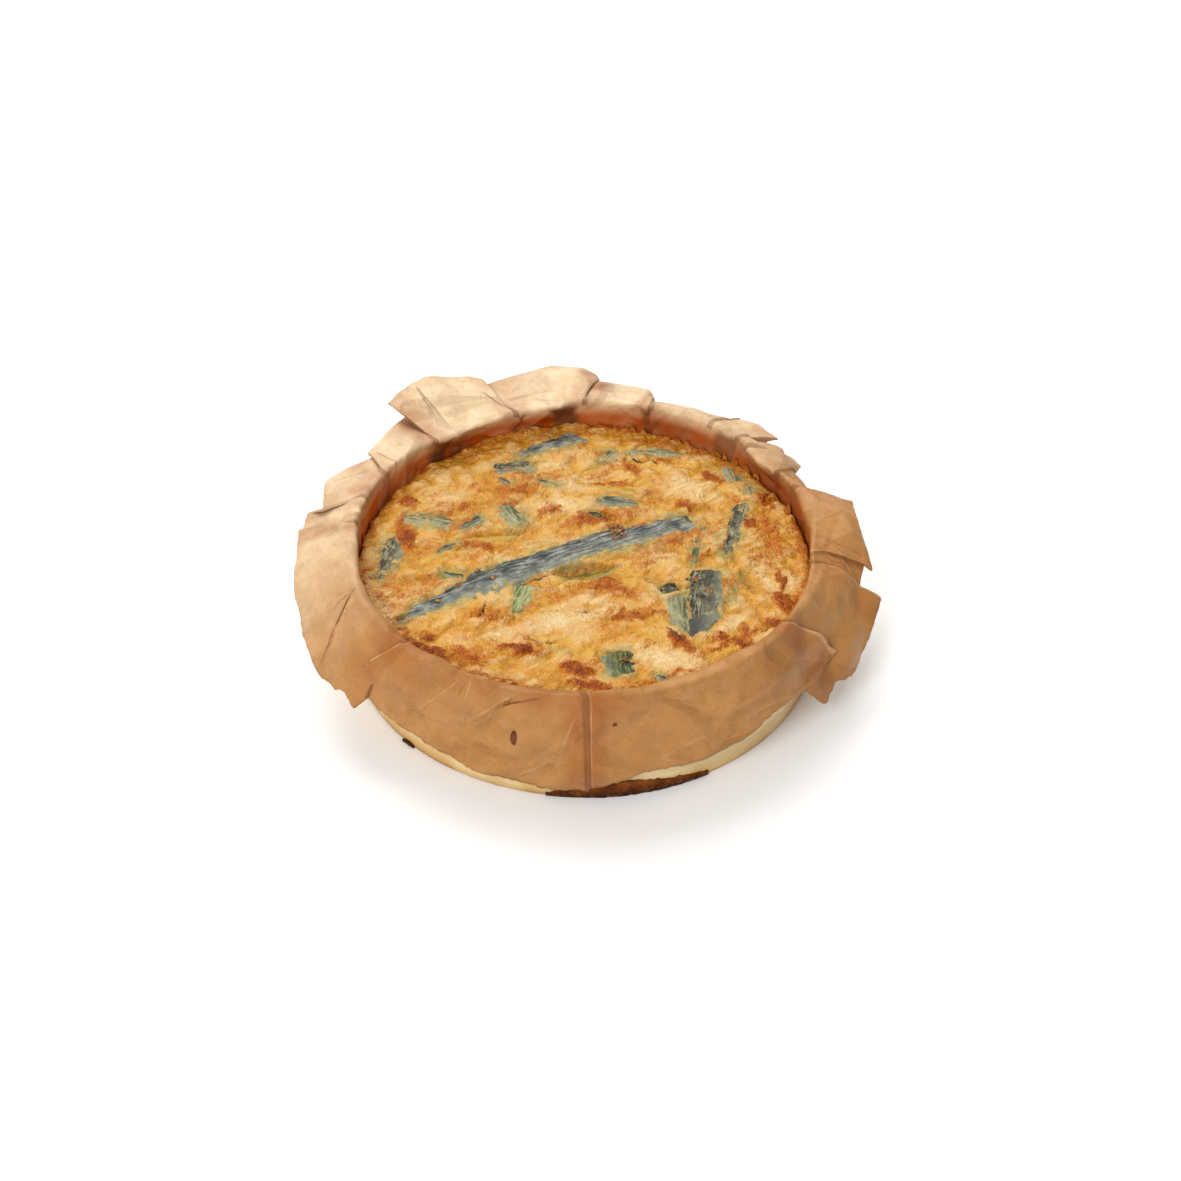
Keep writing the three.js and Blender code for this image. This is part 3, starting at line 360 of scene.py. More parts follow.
# Places that leek under the custard tints green
TINTED = [
    (-38, -19, 34, 4.4, 30, 0.8), (16, 4, 26, 3.4, 15, 0.75), (-47, -10, 5, 2.3, 26, 0.6),
    (-25, -28, 9, 1.9, 79, 0.6), (-7, 59, 5, 2.7, 48, 0.4), (8, 63, 6, 2.6, -53, 0.7),
    (25, 66, 7, 3.3, 7, 0.55), (51, 11, 8, 1.6, -76, 0.55), (54, 7, 6, 1.2, 68, 0.6),
    (29, 3, 3, 2.0, -45, 0.7), (57, -19, 15, 2.7, 71, 0.75), (38, -30, 7, 2.6, -34, 0.5),
    (-8, -56, 7, 2.6, -25, 0.4), (-52, 19, 13, 3.6, -12, 0.6), (-77, -4, 18, 2.7, -72, 0.5),
    (-27, 23, 11, 3.4, -50, 0.4), (14, 32, 13, 3.2, 8, 0.4), (-26, 55, 9, 3.9, 9, 0.5),
    (-11, 78, 10, 4.0, 13, 0.5), (52, 55, 11, 2.6, -55, 0.45), (63, 20, 15, 2.0, -84, 0.45),
    (-43, 3, 6, 2.7, 42, 0.45), (-78, 9, 14, 1.7, 72, 0.35), (15, -60, 9, 2.2, -53, 0.4),
    (30, -21, 8, 2.2, -62, 0.5), (24, -24, 6, 2.0, 37, 0.35),
]

# Cracks in the top: the points that each runs through, and its width
CRACKS = [
    ([(-29.5, -14.5), (-26, -17.2), (-22.5, -17.8), (-19.8, -15.2), (-14, -12.8)], 0.7),
    ([(-36.5, -29), (-37.5, -33.5), (-39, -37)], 0.5),
    ([(-9.5, -6.2), (-8.6, -4), (-7.2, -1.6)], 0.6),
    ([(-2.6, 4), (-0.8, 0.8)], 0.5),
    ([(-19.5, -36), (-15, -34.4), (-10, -33.6)], 0.2),
    ([(-6, -33), (-2, -35.2), (2, -33.4), (6, -35)], 0.15),
    ([(-20, -50), (-14.6, -51.4), (-10.5, -50.6)], 0.25),
    ([(30, -42.5), (33, -45.5), (35.5, -49.5)], 0.7),
    ([(65.5, -43.5), (68.5, -40.5)], 0.6),
    ([(19.5, 60), (27, 59.2), (30, 57.6)], 0.6),
    ([(-52, 3), (-47, 7.5)], 0.5),
]

# Toasted crumbs lying on the top: middle, how far they spread, how many, and their size
CRUMBS = [
    (12.8, 14.4, 4.4, 26, 0.8), (12.2, 9.6, 3.0, 14, 0.75), (-34.6, -15.0, 1.2, 8, 0.7),
    (-47.2, -18.6, 1.4, 7, 0.6), (-54.4, -26.4, 1.0, 5, 0.6), (-40.0, -10.8, 1.0, 4, 0.6),
    (42.0, -15.0, 1.6, 9, 0.7), (47.0, -22.0, 2.4, 9, 0.6), (14.0, -61.0, 2.2, 9, 0.6),
]

# Flakes of custard stuck to the paper at the back: azimuth, height and half width
FLAKES = [
    (86, 2.6, 1.4), (81, 1.8, 1.6), (77, 3.4, 1.2), (73.5, 4.2, 1.0), (69, 2.2, 1.8),
    (64, 2.6, 1.4), (60.5, 4.0, 1.2), (56, 2.4, 2.0), (51.5, 2.8, 2.2), (48.6, 3.6, 0.9),
    (45.4, 4.0, 1.1), (41, 2.2, 1.6), (37, 2.6, 1.3), (21, 3.6, 1.4), (165, 1.8, 1.4),
    (172, 2.2, 1.2), (93, 1.8, 1.6), (105, 1.6, 1.8), (118, 1.8, 1.6), (140, 1.6, 1.6),
]

# What baked on the foot of the mould, and a small spot of it further left: azimuths of its ends,
# heights, least thickness and what its grains add, the azimuth where they begin, its grid and seed
SPILL = {
    "from": -99.0, "to": -60.0, "bottom": 0.4, "top": 7.6, "thin": 0.25, "thick": 0.8,
    "full": -91.0, "steps": 260, "rows": 26, "seed": 101,
}
SPOT = {
    "from": -138.2, "to": -134.4, "bottom": 0.3, "top": 1.9, "thin": 0.3, "thick": 0.9,
    "full": -150.0, "steps": 30, "rows": 12, "seed": 105,
}


def rgb(code):
    """A written sRGB colour as the linear one that Blender uses."""
    parts = [int(code[i : i + 2], 16) / 255 for i in (0, 2, 4)]
    return tuple(c / 12.92 if c <= 0.04045 else ((c + 0.055) / 1.055) ** 2.4 for c in parts)


def mix(a, b, t):
    return a + (b - a) * t


def smooth(t):
    """Rises from 0 to 1 with level ends as t does."""
    t = np.clip(t, 0.0, 1.0)
    return t * t * (3 - 2 * t)


def lattice(i, j, k, seed):
    """Seeded values from 0 to 1 at whole-number places: the fraction of a large sine."""
    v = np.sin(i * 127.1 + j * 311.7 + k * 269.5 + seed * 74.7) * 43758.5453
    return v - np.floor(v)


def noise(x, y, seed, z=None):
    """Smooth noise from -1 to 1: lattice values blended between the corners of a cell."""
    i, j = np.floor(x), np.floor(y)
    u, v = smooth(x - i), smooth(y - j)

    def level(k):
        low = mix(lattice(i, j, k, seed), lattice(i + 1, j, k, seed), u)
        high = mix(lattice(i, j + 1, k, seed), lattice(i + 1, j + 1, k, seed), u)
        return mix(low, high, v)

    if z is None:
        return 2 * level(0.0) - 1
    k = np.floor(z)
    return 2 * mix(level(k), level(k + 1), smooth(z - k)) - 1


def polar(azimuth, radius, z):
    """Points from azimuths in degrees, radii and heights."""
    a = np.radians(azimuth)
    return np.stack(np.broadcast_arrays(radius * np.cos(a), radius * np.sin(a), z), axis=-1)


def in_oval(x, y, cx, cy, long, wide, turn):
    """Where places lie in a turned oval: along it in half lengths, across it in half widths."""
    c, s = math.cos(math.radians(turn)), math.sin(math.radians(turn))
    return ((x - cx) * c + (y - cy) * s) / long, ((y - cy) * c - (x - cx) * s) / wide


def patches(x, y, table):
    """The strongest of several soft ovals at each place: strength times
    exp(-0.5 d^2 - 0.3 d^4), with d the distance from the middle in half lengths and widths,
    pushed about by noise."""
    x = x + 1.6 * noise(x / 3.3, y / 3.3, 41) + 0.7 * noise(x / 1.2, y / 1.2, 42)
    y = y + 1.6 * noise(x / 3.3, y / 3.3, 43) + 0.7 * noise(x / 1.2, y / 1.2, 44)
    found = np.zeros_like(x)
    for *oval, strength in table:
        u, v = in_oval(x, y, *oval)
        d = u * u + v * v
        found = np.maximum(found, strength * np.exp(-0.5 * d - 0.3 * d * d))
    return found


def distance_to_line(x, y, points):
    """Distance from each place to the nearest part of a line through the points."""
    best = np.full_like(x, 1e9)
    for (ax, ay), (bx, by) in zip(points[:-1], points[1:]):
        dx, dy = bx - ax, by - ay
        t = np.clip(((x - ax) * dx + (y - ay) * dy) / (dx * dx + dy * dy), 0, 1)
        best = np.minimum(best, np.hypot(x - ax - t * dx, y - ay - t * dy))
    return best


def filling_top(x, y):
    """Height of the baked top as in the CAD: a low dome, two sizes of soft lumps, crags and
    hollows, climbing a little at its edge."""
    r = np.hypot(x, y) / FILLING_RADIUS
    lumps = 0.8 * noise(x / 17, y / 13, 1) + 0.55 * noise(x / 7.5, y / 6, 2)
    crags = 1.1 * np.maximum(0, noise(x / 11 + 4, y / 8, 3) - 0.25)
    climb = smooth((r - 0.93) / 0.07) * (0.5 + 0.5 * noise(x / 6, y / 6, 4))
    z = FILLING_EDGE_Z + FILLING_DOME * (1 - r**4)
    z = z + (lumps + crags) * (1 - 0.6 * r**8) + 1.3 * climb
    for *oval, deep in HOLLOWS:
        u, v = in_oval(x, y, *oval)
        z = z - deep * np.exp(-(u * u + v * v) * 1.6)
    return z


def pits(x, y, uneven=0.0):
    """Depth of the steep-sided pits: each an oval that falls off quickly at its back and
    gently at its front."""
    found = np.zeros_like(x)
    for *oval, deep in PITS:
        u, v = in_oval(x, y, *oval)
        fall = np.where(v > 0, 0.3, 0.7)
        found = np.maximum(found, deep * smooth((1.15 - np.hypot(u, v) + uneven) / fall))
    return found


def leaf_place(leaf, x, y):
    """Where places lie on a leaf: distance outside its edge, and distance inside it."""
    _, start, end, bow, half, _, _ = leaf
    line = np.subtract(end, start)
    length = math.hypot(*line)
    ahead = line / length
    t = ((x - start[0]) * ahead[0] + (y - start[1]) * ahead[1]) / length
    along = np.clip(t, 0, 1)
    side = (y - start[1]) * ahead[0] - (x - start[0]) * ahead[1] - bow * 4 * along * (1 - along)
    width = np.interp(along, np.linspace(0, 1, len(half)), half)
    beyond = np.maximum(np.abs(t - 0.5) - 0.5, 0) * length
    outside = np.hypot(beyond, np.maximum(np.abs(side) - width, 0))
    inside = np.minimum(width - np.abs(side), (0.5 - np.abs(t - 0.5)) * length)
    return outside, inside


def facing_out(points, quads, triangles):
    """Turns the faces so that they point outwards, by the sign of the volume they close."""
    first = np.concatenate([quads[:, :3], quads[:, [0, 2, 3]], triangles])
    a, b, c = (points[first[:, i]] for i in range(3))
    if np.einsum("ij,ij->", a, np.cross(b, c)) > 0:
        return quads, triangles
    return quads[:, ::-1], triangles[:, ::-1]


def add_piece(name, points, quads, triangles, material, shares=None, uv=None):
    """A closed piece from points in millimetres and its faces, with values for its points as
    attributes that its material reads."""
    triangles = np.zeros((0, 3), int) if triangles is None else np.asarray(triangles)
    quads, triangles = facing_out(points, np.asarray(quads), triangles)
    corners = np.concatenate([quads.ravel(), triangles.ravel()])
    starts = np.concatenate(
        [np.arange(len(quads)) * 4, len(quads) * 4 + np.arange(len(triangles)) * 3]
    )
    mesh = bpy.data.meshes.new(name)
    mesh.vertices.add(len(points))
    mesh.vertices.foreach_set("co", (points * MM).astype(np.float32).ravel())
    mesh.loops.add(len(corners))
    mesh.loops.foreach_set("vertex_index", corners.astype(np.int32))
    mesh.polygons.add(len(starts))
    mesh.polygons.foreach_set("loop_start", starts.astype(np.int32))
    mesh.polygons.foreach_set("use_smooth", np.ones(len(starts), bool))
    for key, values in (shares or {}).items():
        layer = mesh.attributes.new(key, "FLOAT", "POINT")
        layer.data.foreach_set("value", np.asarray(values, np.float32).ravel())
    if uv is not None:
        layer = mesh.uv_layers.new(name="UVMap")
        layer.data.foreach_set("uv", np.asarray(uv, np.float32)[corners].ravel())
    mesh.update(calc_edges=True)
    mesh.validate()
    mesh.materials.append(material)
    piece = bpy.data.objects.new(name, mesh)
    bpy.context.scene.collection.objects.link(piece)
    return piece


def stand_for(piece, slot, *nodes):
    """The piece rides on the quiche and stands for CAD nodes, which it hides. The slot is not used.
    """
    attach(piece, "root")
    if nodes:
        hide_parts(*nodes)


def grid_quads(rows, columns, closed=False):
    """Faces of a grid of points numbered row by row; closed joins the last column to the
    first."""
    i = np.arange(rows - 1)[:, None]
    j = np.arange(columns if closed else columns - 1)[None, :]
    a = i * columns + j
    b = i * columns + (j + 1) % columns
    return np.stack([a, b, b + columns, a + columns], axis=-1).reshape(-1, 4)


def border(rows, columns):
    """Numbers of the points round the edge of a grid, in order."""
    number = np.arange(rows * columns).reshape(rows, columns)
    return np.concatenate([number[0, :-1], number[:-1, -1], number[-1, :0:-1], number[:0:-1, 0]])


def between_sheets(upper, lower):
    """Points and faces of the solid between two open grids of the same size."""
    rows, columns = upper.shape[:2]
    count = rows * columns
    points = np.concatenate([upper.reshape(-1, 3), lower.reshape(-1, 3)])
    top = grid_quads(rows, columns)
    ring = border(rows, columns)
    after = np.roll(ring, -1)
    wall = np.stack([ring, ring + count, after + count, after], axis=-1)
    return points, np.concatenate([top, top[:, ::-1] + count, wall])


# Materials

def feed(tree, socket, value):
    """A socket takes another socket's output, or a plain value."""
    if isinstance(value, bpy.types.NodeSocket):
        tree.links.new(value, socket)
    else:
        socket.default_value = value


def node(tree, kind, feeds=None, **settings):
    """A shader node with its settings and what feeds its inputs."""
    made = tree.nodes.new("ShaderNode" + kind)
    for key, value in settings.items():
        setattr(made, key, value)
    for key, value in (feeds or {}).items():
        feed(tree, made.inputs[key], value)
    return made


def paint(colour):
    """What a colour input takes: a socket as it is, a written colour or a setting as a value."""
    if isinstance(colour, bpy.types.NodeSocket):
        return colour
    return (*(rgb(colour) if isinstance(colour, str) else colour), 1.0)


def blend(tree, share, low, high):
    """The colour between two, by a share from 0 to 1."""
    made = node(tree, "Mix", {0: share, 6: paint(low), 7: paint(high)}, data_type="RGBA")
    return made.outputs[2]


def step(tree, value, low, high, to_low=0.0, to_high=1.0):
    """A value's place between low and high as a smooth share, clamped at both ends."""
    made = node(
        tree,
        "MapRange",
        {"Value": value, "From Min": low, "From Max": high, "To Min": to_low, "To Max": to_high},
        interpolation_type="SMOOTHSTEP",
    )
    return made.outputs["Result"]


def mix_share(tree, share, low):
    """A share raised so that it runs from low to 1."""
    return step(tree, share, 0.0, 1.0, low, 1.0)


def maths(tree, operation, a, b=0.0, c=0.0):
    return node(tree, "Math", {0: a, 1: b, 2: c}, operation=operation).outputs[0]


def times(tree, a, b):
    return maths(tree, "MULTIPLY", a, b)


def clamped(tree, value):
    return node(tree, "Clamp", {"Value": value}).outputs[0]


def share_of(tree, name):
    """One of the values that the mesh carries for its points."""
    return node(tree, "Attribute", attribute_name=name).outputs["Fac"]


def new_group(name, inputs, output):
    """An empty shader node group with named inputs, their defaults, and one value output."""
    group = bpy.data.node_groups.new(name, "ShaderNodeTree")
    for key, value in inputs.items():
        kind = "NodeSocketVector" if isinstance(value, tuple) else "NodeSocketFloat"
        socket = group.interface.new_socket(key, in_out="INPUT", socket_type=kind)
        socket.default_value = value
    group.interface.new_socket(output, in_out="OUTPUT", socket_type="NodeSocketFloat")
    return group, group.nodes.new("NodeGroupInput"), group.nodes.new("NodeGroupOutput")


def mottle_group():
    """Cloudy variation from 0 to 1: noise, cut between a low and a high level."""
    group, given, result = new_group(
        "Mottle",
        {"Vector": (0.0, 0.0, 0.0), "Scale": 100.0, "Detail": 3.0, "Low": 0.35, "High": 0.65},
        "Share",
    )
    cloud = node(
        group,
        "TexNoise",
        {key: given.outputs[key] for key in ("Vector", "Scale", "Detail")},
    )
    share = step(group, cloud.outputs["Fac"], given.outputs["Low"], given.outputs["High"])
    group.links.new(share, result.inputs["Share"])
    return group


def grain_group():
    """Streaks from 0 to 1: noise on coordinates that are stretched differently each way."""
    group, given, result = new_group(
        "Grain",
        {"Vector": (0.0, 0.0, 0.0), "Stretch": (10.0, 10.0, 100.0), "Low": 0.3, "High": 0.7},
        "Share",
    )
    pulled = node(
        group,
        "VectorMath",
        {0: given.outputs["Vector"], 1: given.outputs["Stretch"]},
        operation="MULTIPLY",
    )
    streaks = node(
        group, "TexNoise", {"Vector": pulled.outputs[0], "Scale": 1.0, "Detail": 3.0}
    )
    share = step(group, streaks.outputs["Fac"], given.outputs["Low"], given.outputs["High"])
    group.links.new(share, result.inputs["Share"])
    return group


def specks_group():
    """Scattered round specks: 1 within a size of a cell's point, only in some of the cells."""
    group, given, result = new_group(
        "Specks",
        {"Vector": (0.0, 0.0, 0.0), "Scale": 200.0, "Size": 0.2, "Share of cells": 0.3},
        "Mask",
    )
    cells = node(
        group, "TexVoronoi", {"Vector": given.outputs["Vector"], "Scale": given.outputs["Scale"]}
    )
    near = step(group, cells.outputs["Distance"], given.outputs["Size"], 0.0)
    parts = node(group, "SeparateColor", {"Color": cells.outputs["Color"]})
    some = maths(group, "LESS_THAN", parts.outputs[0], given.outputs["Share of cells"])
    group.links.new(times(group, near, some), result.inputs["Mask"])
    return group


def facets_group():
    """Flat facets between straight folds, as on crumpled paper: the distance from scattered
    points measured along the axes, so that it rises in flat pyramids, in metres."""
    group, given, result = new_group(
        "Facets",
        {"Vector": (0.0, 0.0, 0.0), "Turn": (0.0, 0.0, 0.0), "Scale": 30.0},
        "Height",
    )
    turned = node(
        group,
        "VectorRotate",
        {"Vector": given.outputs["Vector"], "Rotation": given.outputs["Turn"]},
        rotation_type="EULER_XYZ",
    )
    cells = node(
        group,
        "TexVoronoi",
        {"Vector": turned.outputs[0], "Scale": given.outputs["Scale"]},
        distance="MANHATTAN",
    )
    height = maths(group, "DIVIDE", cells.outputs["Distance"], given.outputs["Scale"])
    group.links.new(height, result.inputs["Height"])
    return group


def effect(tree, name, **values):
    """A shared effect placed in a material with its own values."""
    made = tree.nodes.new("ShaderNodeGroup")
    made.node_tree = bpy.data.node_groups[name]
    for key, value in values.items():
        feed(tree, made.inputs[key.replace("_", " ")], value)
    return made.outputs[0]


def new_material(name):
    """A material with its Principled shader, and the object's own coordinates."""
    material = bpy.data.materials.new(name)
    material.use_nodes = True
    tree = material.node_tree
    return material, tree, tree.nodes["Principled BSDF"], node(tree, "TexCoord")


def set_bump(tree, shader, height, depth):
    """Fine relief in the shading alone, with its depth in millimetres."""
    made = node(tree, "Bump", {"Height": height, "Distance": depth * MM, "Strength": 1.0})
    feed(tree, shader.inputs["Normal"], made.outputs["Normal"])


def set_shader(tree, shader, colour, rough, gloss=None, tint=None):
    """Colour and roughness of a finish, and how strong and of what colour its gloss is."""
    feed(tree, shader.inputs["Base Color"], colour)
    feed(tree, shader.inputs["Roughness"], rough)
    if gloss is not None:
        shader.inputs["Specular IOR Level"].default_value = gloss
    if tint is not None:
        shader.inputs["Specular Tint"].default_value = (*tint, 1.0)


def wood_material(settings):
    """Thin poplar wood: cream, streaked round the mould, toasted at its foot, with specks."""
    material, tree, shader, place = new_material("mould_wood")
    spot = place.outputs["Object"]
    streak = effect(tree, "Grain", Vector=spot, Stretch=(14.0, 14.0, 900.0))
    broad = effect(tree, "Grain", Vector=spot, Stretch=(9.0, 9.0, 160.0))
    cloud = effect(tree, "Mottle", Vector=spot, Scale=45.0)
    colour = blend(tree, streak, settings.wood, settings.wood_streak)
    colour = blend(tree, times(tree, broad, 0.35), colour, "d9bd88")
    height = node(tree, "SeparateXYZ", {"Vector": spot}).outputs["Z"]
    foot = times(tree, step(tree, height, 0.012, 0.0), mix_share(tree, cloud, 0.45))
    colour = blend(tree, foot, colour, "c79a4c")
    edge = times(tree, step(tree, height, 0.0022, 0.0), mix_share(tree, cloud, 0.5))
    colour = blend(tree, edge, colour, "96622a")
    specks = effect(tree, "Specks", Vector=spot, Scale=260.0, Size=0.16, Share_of_cells=0.16)
    colour = blend(tree, times(tree, specks, 0.55), colour, "8a6234")
    set_shader(tree, shader, colour, step(tree, streak, 0.0, 1.0, 0.5, 0.68))
    set_bump(tree, shader, streak, 0.06)
    return material


def paper_material(settings):
    """Brown baking paper: fibre clouds, soaked places, painted light on the back and left, painted
    highlights along creases and on the edges of doubled browner paper with a painted shadow under
    them, an oil-soaked inner wall with painted shade deepening down it, doubled pleats and painted
    shade inside the rim, dried drops with a sharp edge, facets, and brown crease lines."""
    material, tree, shader, place = new_material("baking_paper")
    spot = place.outputs["Object"]
    fibre = effect(tree, "Mottle", Vector=spot, Scale=1500.0, Detail=2.0, Low=0.3, High=0.7)
    cloud = effect(tree, "Mottle", Vector=spot, Scale=140.0, Detail=4.0)
    broad = effect(tree, "Mottle", Vector=spot, Scale=26.0)
    colour = blend(tree, cloud, settings.paper, settings.paper_light)
    colour = blend(tree, times(tree, broad, 0.35), colour, settings.paper_deep)
    # Painted light: the paper at the back and left is painted lighter, where the key light and its
    # sheen fall
    painted_light = times(tree, share_of(tree, "painted_light"), mix_share(tree, cloud, 0.8))
    colour = blend(tree, painted_light, colour, settings.painted_light)
    colour = blend(tree, times(tree, fibre, 0.14), colour, "dcb07a")
    fleck = effect(tree, "Mottle", Vector=spot, Scale=520.0, Detail=2.0, Low=0.52, High=0.7)
    colour = blend(tree, times(tree, fleck, 0.16), colour, "9a6228")
    doubled = step(tree, share_of(tree, "edge"), 8.0, 3.0)
    doubled = times(tree, doubled, mix_share(tree, broad, 0.3))
    colour = blend(tree, times(tree, doubled, 0.42), colour, settings.soaked)
    soaked = times(tree, share_of(tree, "soaked"), mix_share(tree, cloud, 0.7))
    colour = blend(tree, soaked, colour, settings.soaked)
    # Oil that soaked the inner wall, with painted shade deepening down it from the rim
    oil_and_shade = times(tree, share_of(tree, "oil_and_shade"), mix_share(tree, cloud, 0.85))
    colour = blend(tree, oil_and_shade, colour, settings.oil_and_shade)
    # Doubled paper in the pleats inside the rim, and painted shade in the pleats and on parts of
    # the inner wall
    colour = blend(tree, share_of(tree, "pleat_and_shade"), colour, "7c4a2a")
    # Creases with a positive line get a light line of painted highlight, those with a negative one
    # a brown line
    off = maths(tree, "ABSOLUTE", share_of(tree, "crease"))
    line = times(tree, step(tree, off, 0.6, 0.1), share_of(tree, "crease_line"))
    light = clamped(tree, line)
    fall = maths(tree, "EXPONENT", times(tree, off, -1 / 1.3))
    height = times(tree, fall, share_of(tree, "crease_height"))
    broken = mix_share(tree, cloud, 0.35)
    brown = times(tree, clamped(tree, times(tree, line, -1.0)), broken)
    colour = blend(tree, brown, colour, "7c3f12")
    # Painted highlight along the edge of the layer that lies on top at a pleat
    above = step(tree, share_of(tree, "edge"), 0.5, 0.1)
    above = times(tree, above, share_of(tree, "on_top"))
    light = clamped(tree, maths(tree, "ADD", light, above))
    light = times(tree, times(tree, light, broken), 0.4)
    colour = blend(tree, light, colour, "e8c48e")
    # Painted shadow along the edge where a layer goes under the one on top
    below = step(tree, share_of(tree, "edge"), 1.2, 0.0)
    below = times(tree, below, maths(tree, "SUBTRACT", 1.0, share_of(tree, "on_top")))
    colour = blend(tree, times(tree, below, 0.5), colour, "6e3c18")
    drop = step(tree, share_of(tree, "drop"), 0.12, -0.12)
    ring = step(tree, share_of(tree, "drop"), -0.5, 0.0)
    stain = blend(tree, ring, "6e2e06", "3e1402")
    colour = blend(tree, drop, colour, stain)
    rough = step(tree, fibre, 0.0, 1.0, 0.44, 0.6)
    rough = maths(tree, "SUBTRACT", rough, times(tree, drop, 0.1))
    set_shader(tree, shader, colour, rough, 0.35, (1.0, 0.9, 0.72))
    for turn, scale, slope in PAPER_FACETS:
        facet = effect(tree, "Facets", Vector=spot, Turn=turn, Scale=scale)
        height = maths(tree, "MULTIPLY_ADD", facet, slope * settings.facets / MM, height)
    grain = maths(tree, "ADD", fibre, times(tree, cloud, 1.5))
    height = maths(tree, "MULTIPLY_ADD", grain, 0.04, height)
    set_bump(tree, shader, height, 1.0)
    return material


def custard_material(settings):
    """Baked egg and cheese: golden clouds, paler on crests and deeper yellow in dips, partly as
    painted light and shade, browning from orange to red-brown, a green tint over the leeks, painted
    shade in the pits and dark painted shade in the cracks."""
    material, tree, shader, place = new_material("baked_custard")
    spot = place.outputs["Object"]
    fine = effect(tree, "Mottle", Vector=spot, Scale=1300.0, Detail=3.0, Low=0.32, High=0.68)
    curd = effect(tree, "Mottle", Vector=spot, Scale=420.0, Detail=3.0, Low=0.33, High=0.67)
    cloud = effect(tree, "Mottle", Vector=spot, Scale=100.0, Detail=3.0, Low=0.36, High=0.64)
    gold = times(tree, cloud, mix_share(tree, curd, 0.45))
    colour = blend(tree, gold, settings.custard, settings.gold)
    # Painted light and shade on the curds: paler cream on the crests, deeper yellow in the dips
    crest = step(tree, share_of(tree, "raised"), -0.15, 0.6)
    crest = times(tree, crest, mix_share(tree, curd, 0.5))
    colour = blend(tree, times(tree, crest, 0.55), colour, settings.cream)
    dip_shade = step(tree, share_of(tree, "raised"), -0.12, -0.45)
    colour = blend(tree, times(tree, dip_shade, 0.9), colour, settings.yellow)
    yellow = times(tree, share_of(tree, "yellow"), mix_share(tree, curd, 0.7))
    colour = blend(tree, yellow, colour, settings.yellow)
    pale = times(tree, share_of(tree, "pale"), mix_share(tree, curd, 0.6))
    colour = blend(tree, pale, colour, settings.cream)
    green = times(tree, share_of(tree, "green"), mix_share(tree, curd, 0.6))
    tint = blend(tree, cloud, settings.green, settings.green_deep)
    colour = blend(tree, step(tree, green, 0.06, 0.7), colour, tint)
    swing = times(tree, maths(tree, "SUBTRACT", fine, 0.5), 0.3)
    curds = times(tree, maths(tree, "SUBTRACT", curd, 0.5), 0.3)
    brown = maths(tree, "ADD", share_of(tree, "browned"), maths(tree, "ADD", swing, curds))
    colour = blend(tree, step(tree, brown, 0.12, 0.46), colour, settings.orange)
    colour = blend(tree, step(tree, brown, 0.44, 0.8), colour, settings.brown)
    colour = blend(tree, step(tree, brown, 0.78, 1.1), colour, settings.burnt)
    # Painted shade in the pits, a darker olive-brown that grows with their depth
    deep = step(tree, share_of(tree, "pit"), 0.3, 2.2, 0.0, 0.75)
    deep = times(tree, deep, mix_share(tree, curd, 0.5))
    colour = blend(tree, deep, colour, "966404")
    # Painted shade in the cracks
    crack = step(tree, share_of(tree, "crack"), 0.3, -0.1)
    colour = blend(tree, crack, colour, "2e2412")
    rough = step(tree, fine, 0.0, 1.0, 0.16, 0.34)
    set_shader(tree, shader, colour, rough, 0.5, (1.0, 0.9, 0.72))
    shader.inputs["Subsurface Weight"].default_value = 0.1
    shader.inputs["Subsurface Radius"].default_value = (1.0, 0.55, 0.25)
    shader.inputs["Subsurface Scale"].default_value = 0.0015
    relief = maths(tree, "ADD", times(tree, curd, 1.6), fine)
    grainy = step(tree, share_of(tree, "browned"), 0.0, 0.7, 0.45, 1.3)
    set_bump(tree, shader, times(tree, relief, grainy), 0.42)
    return material


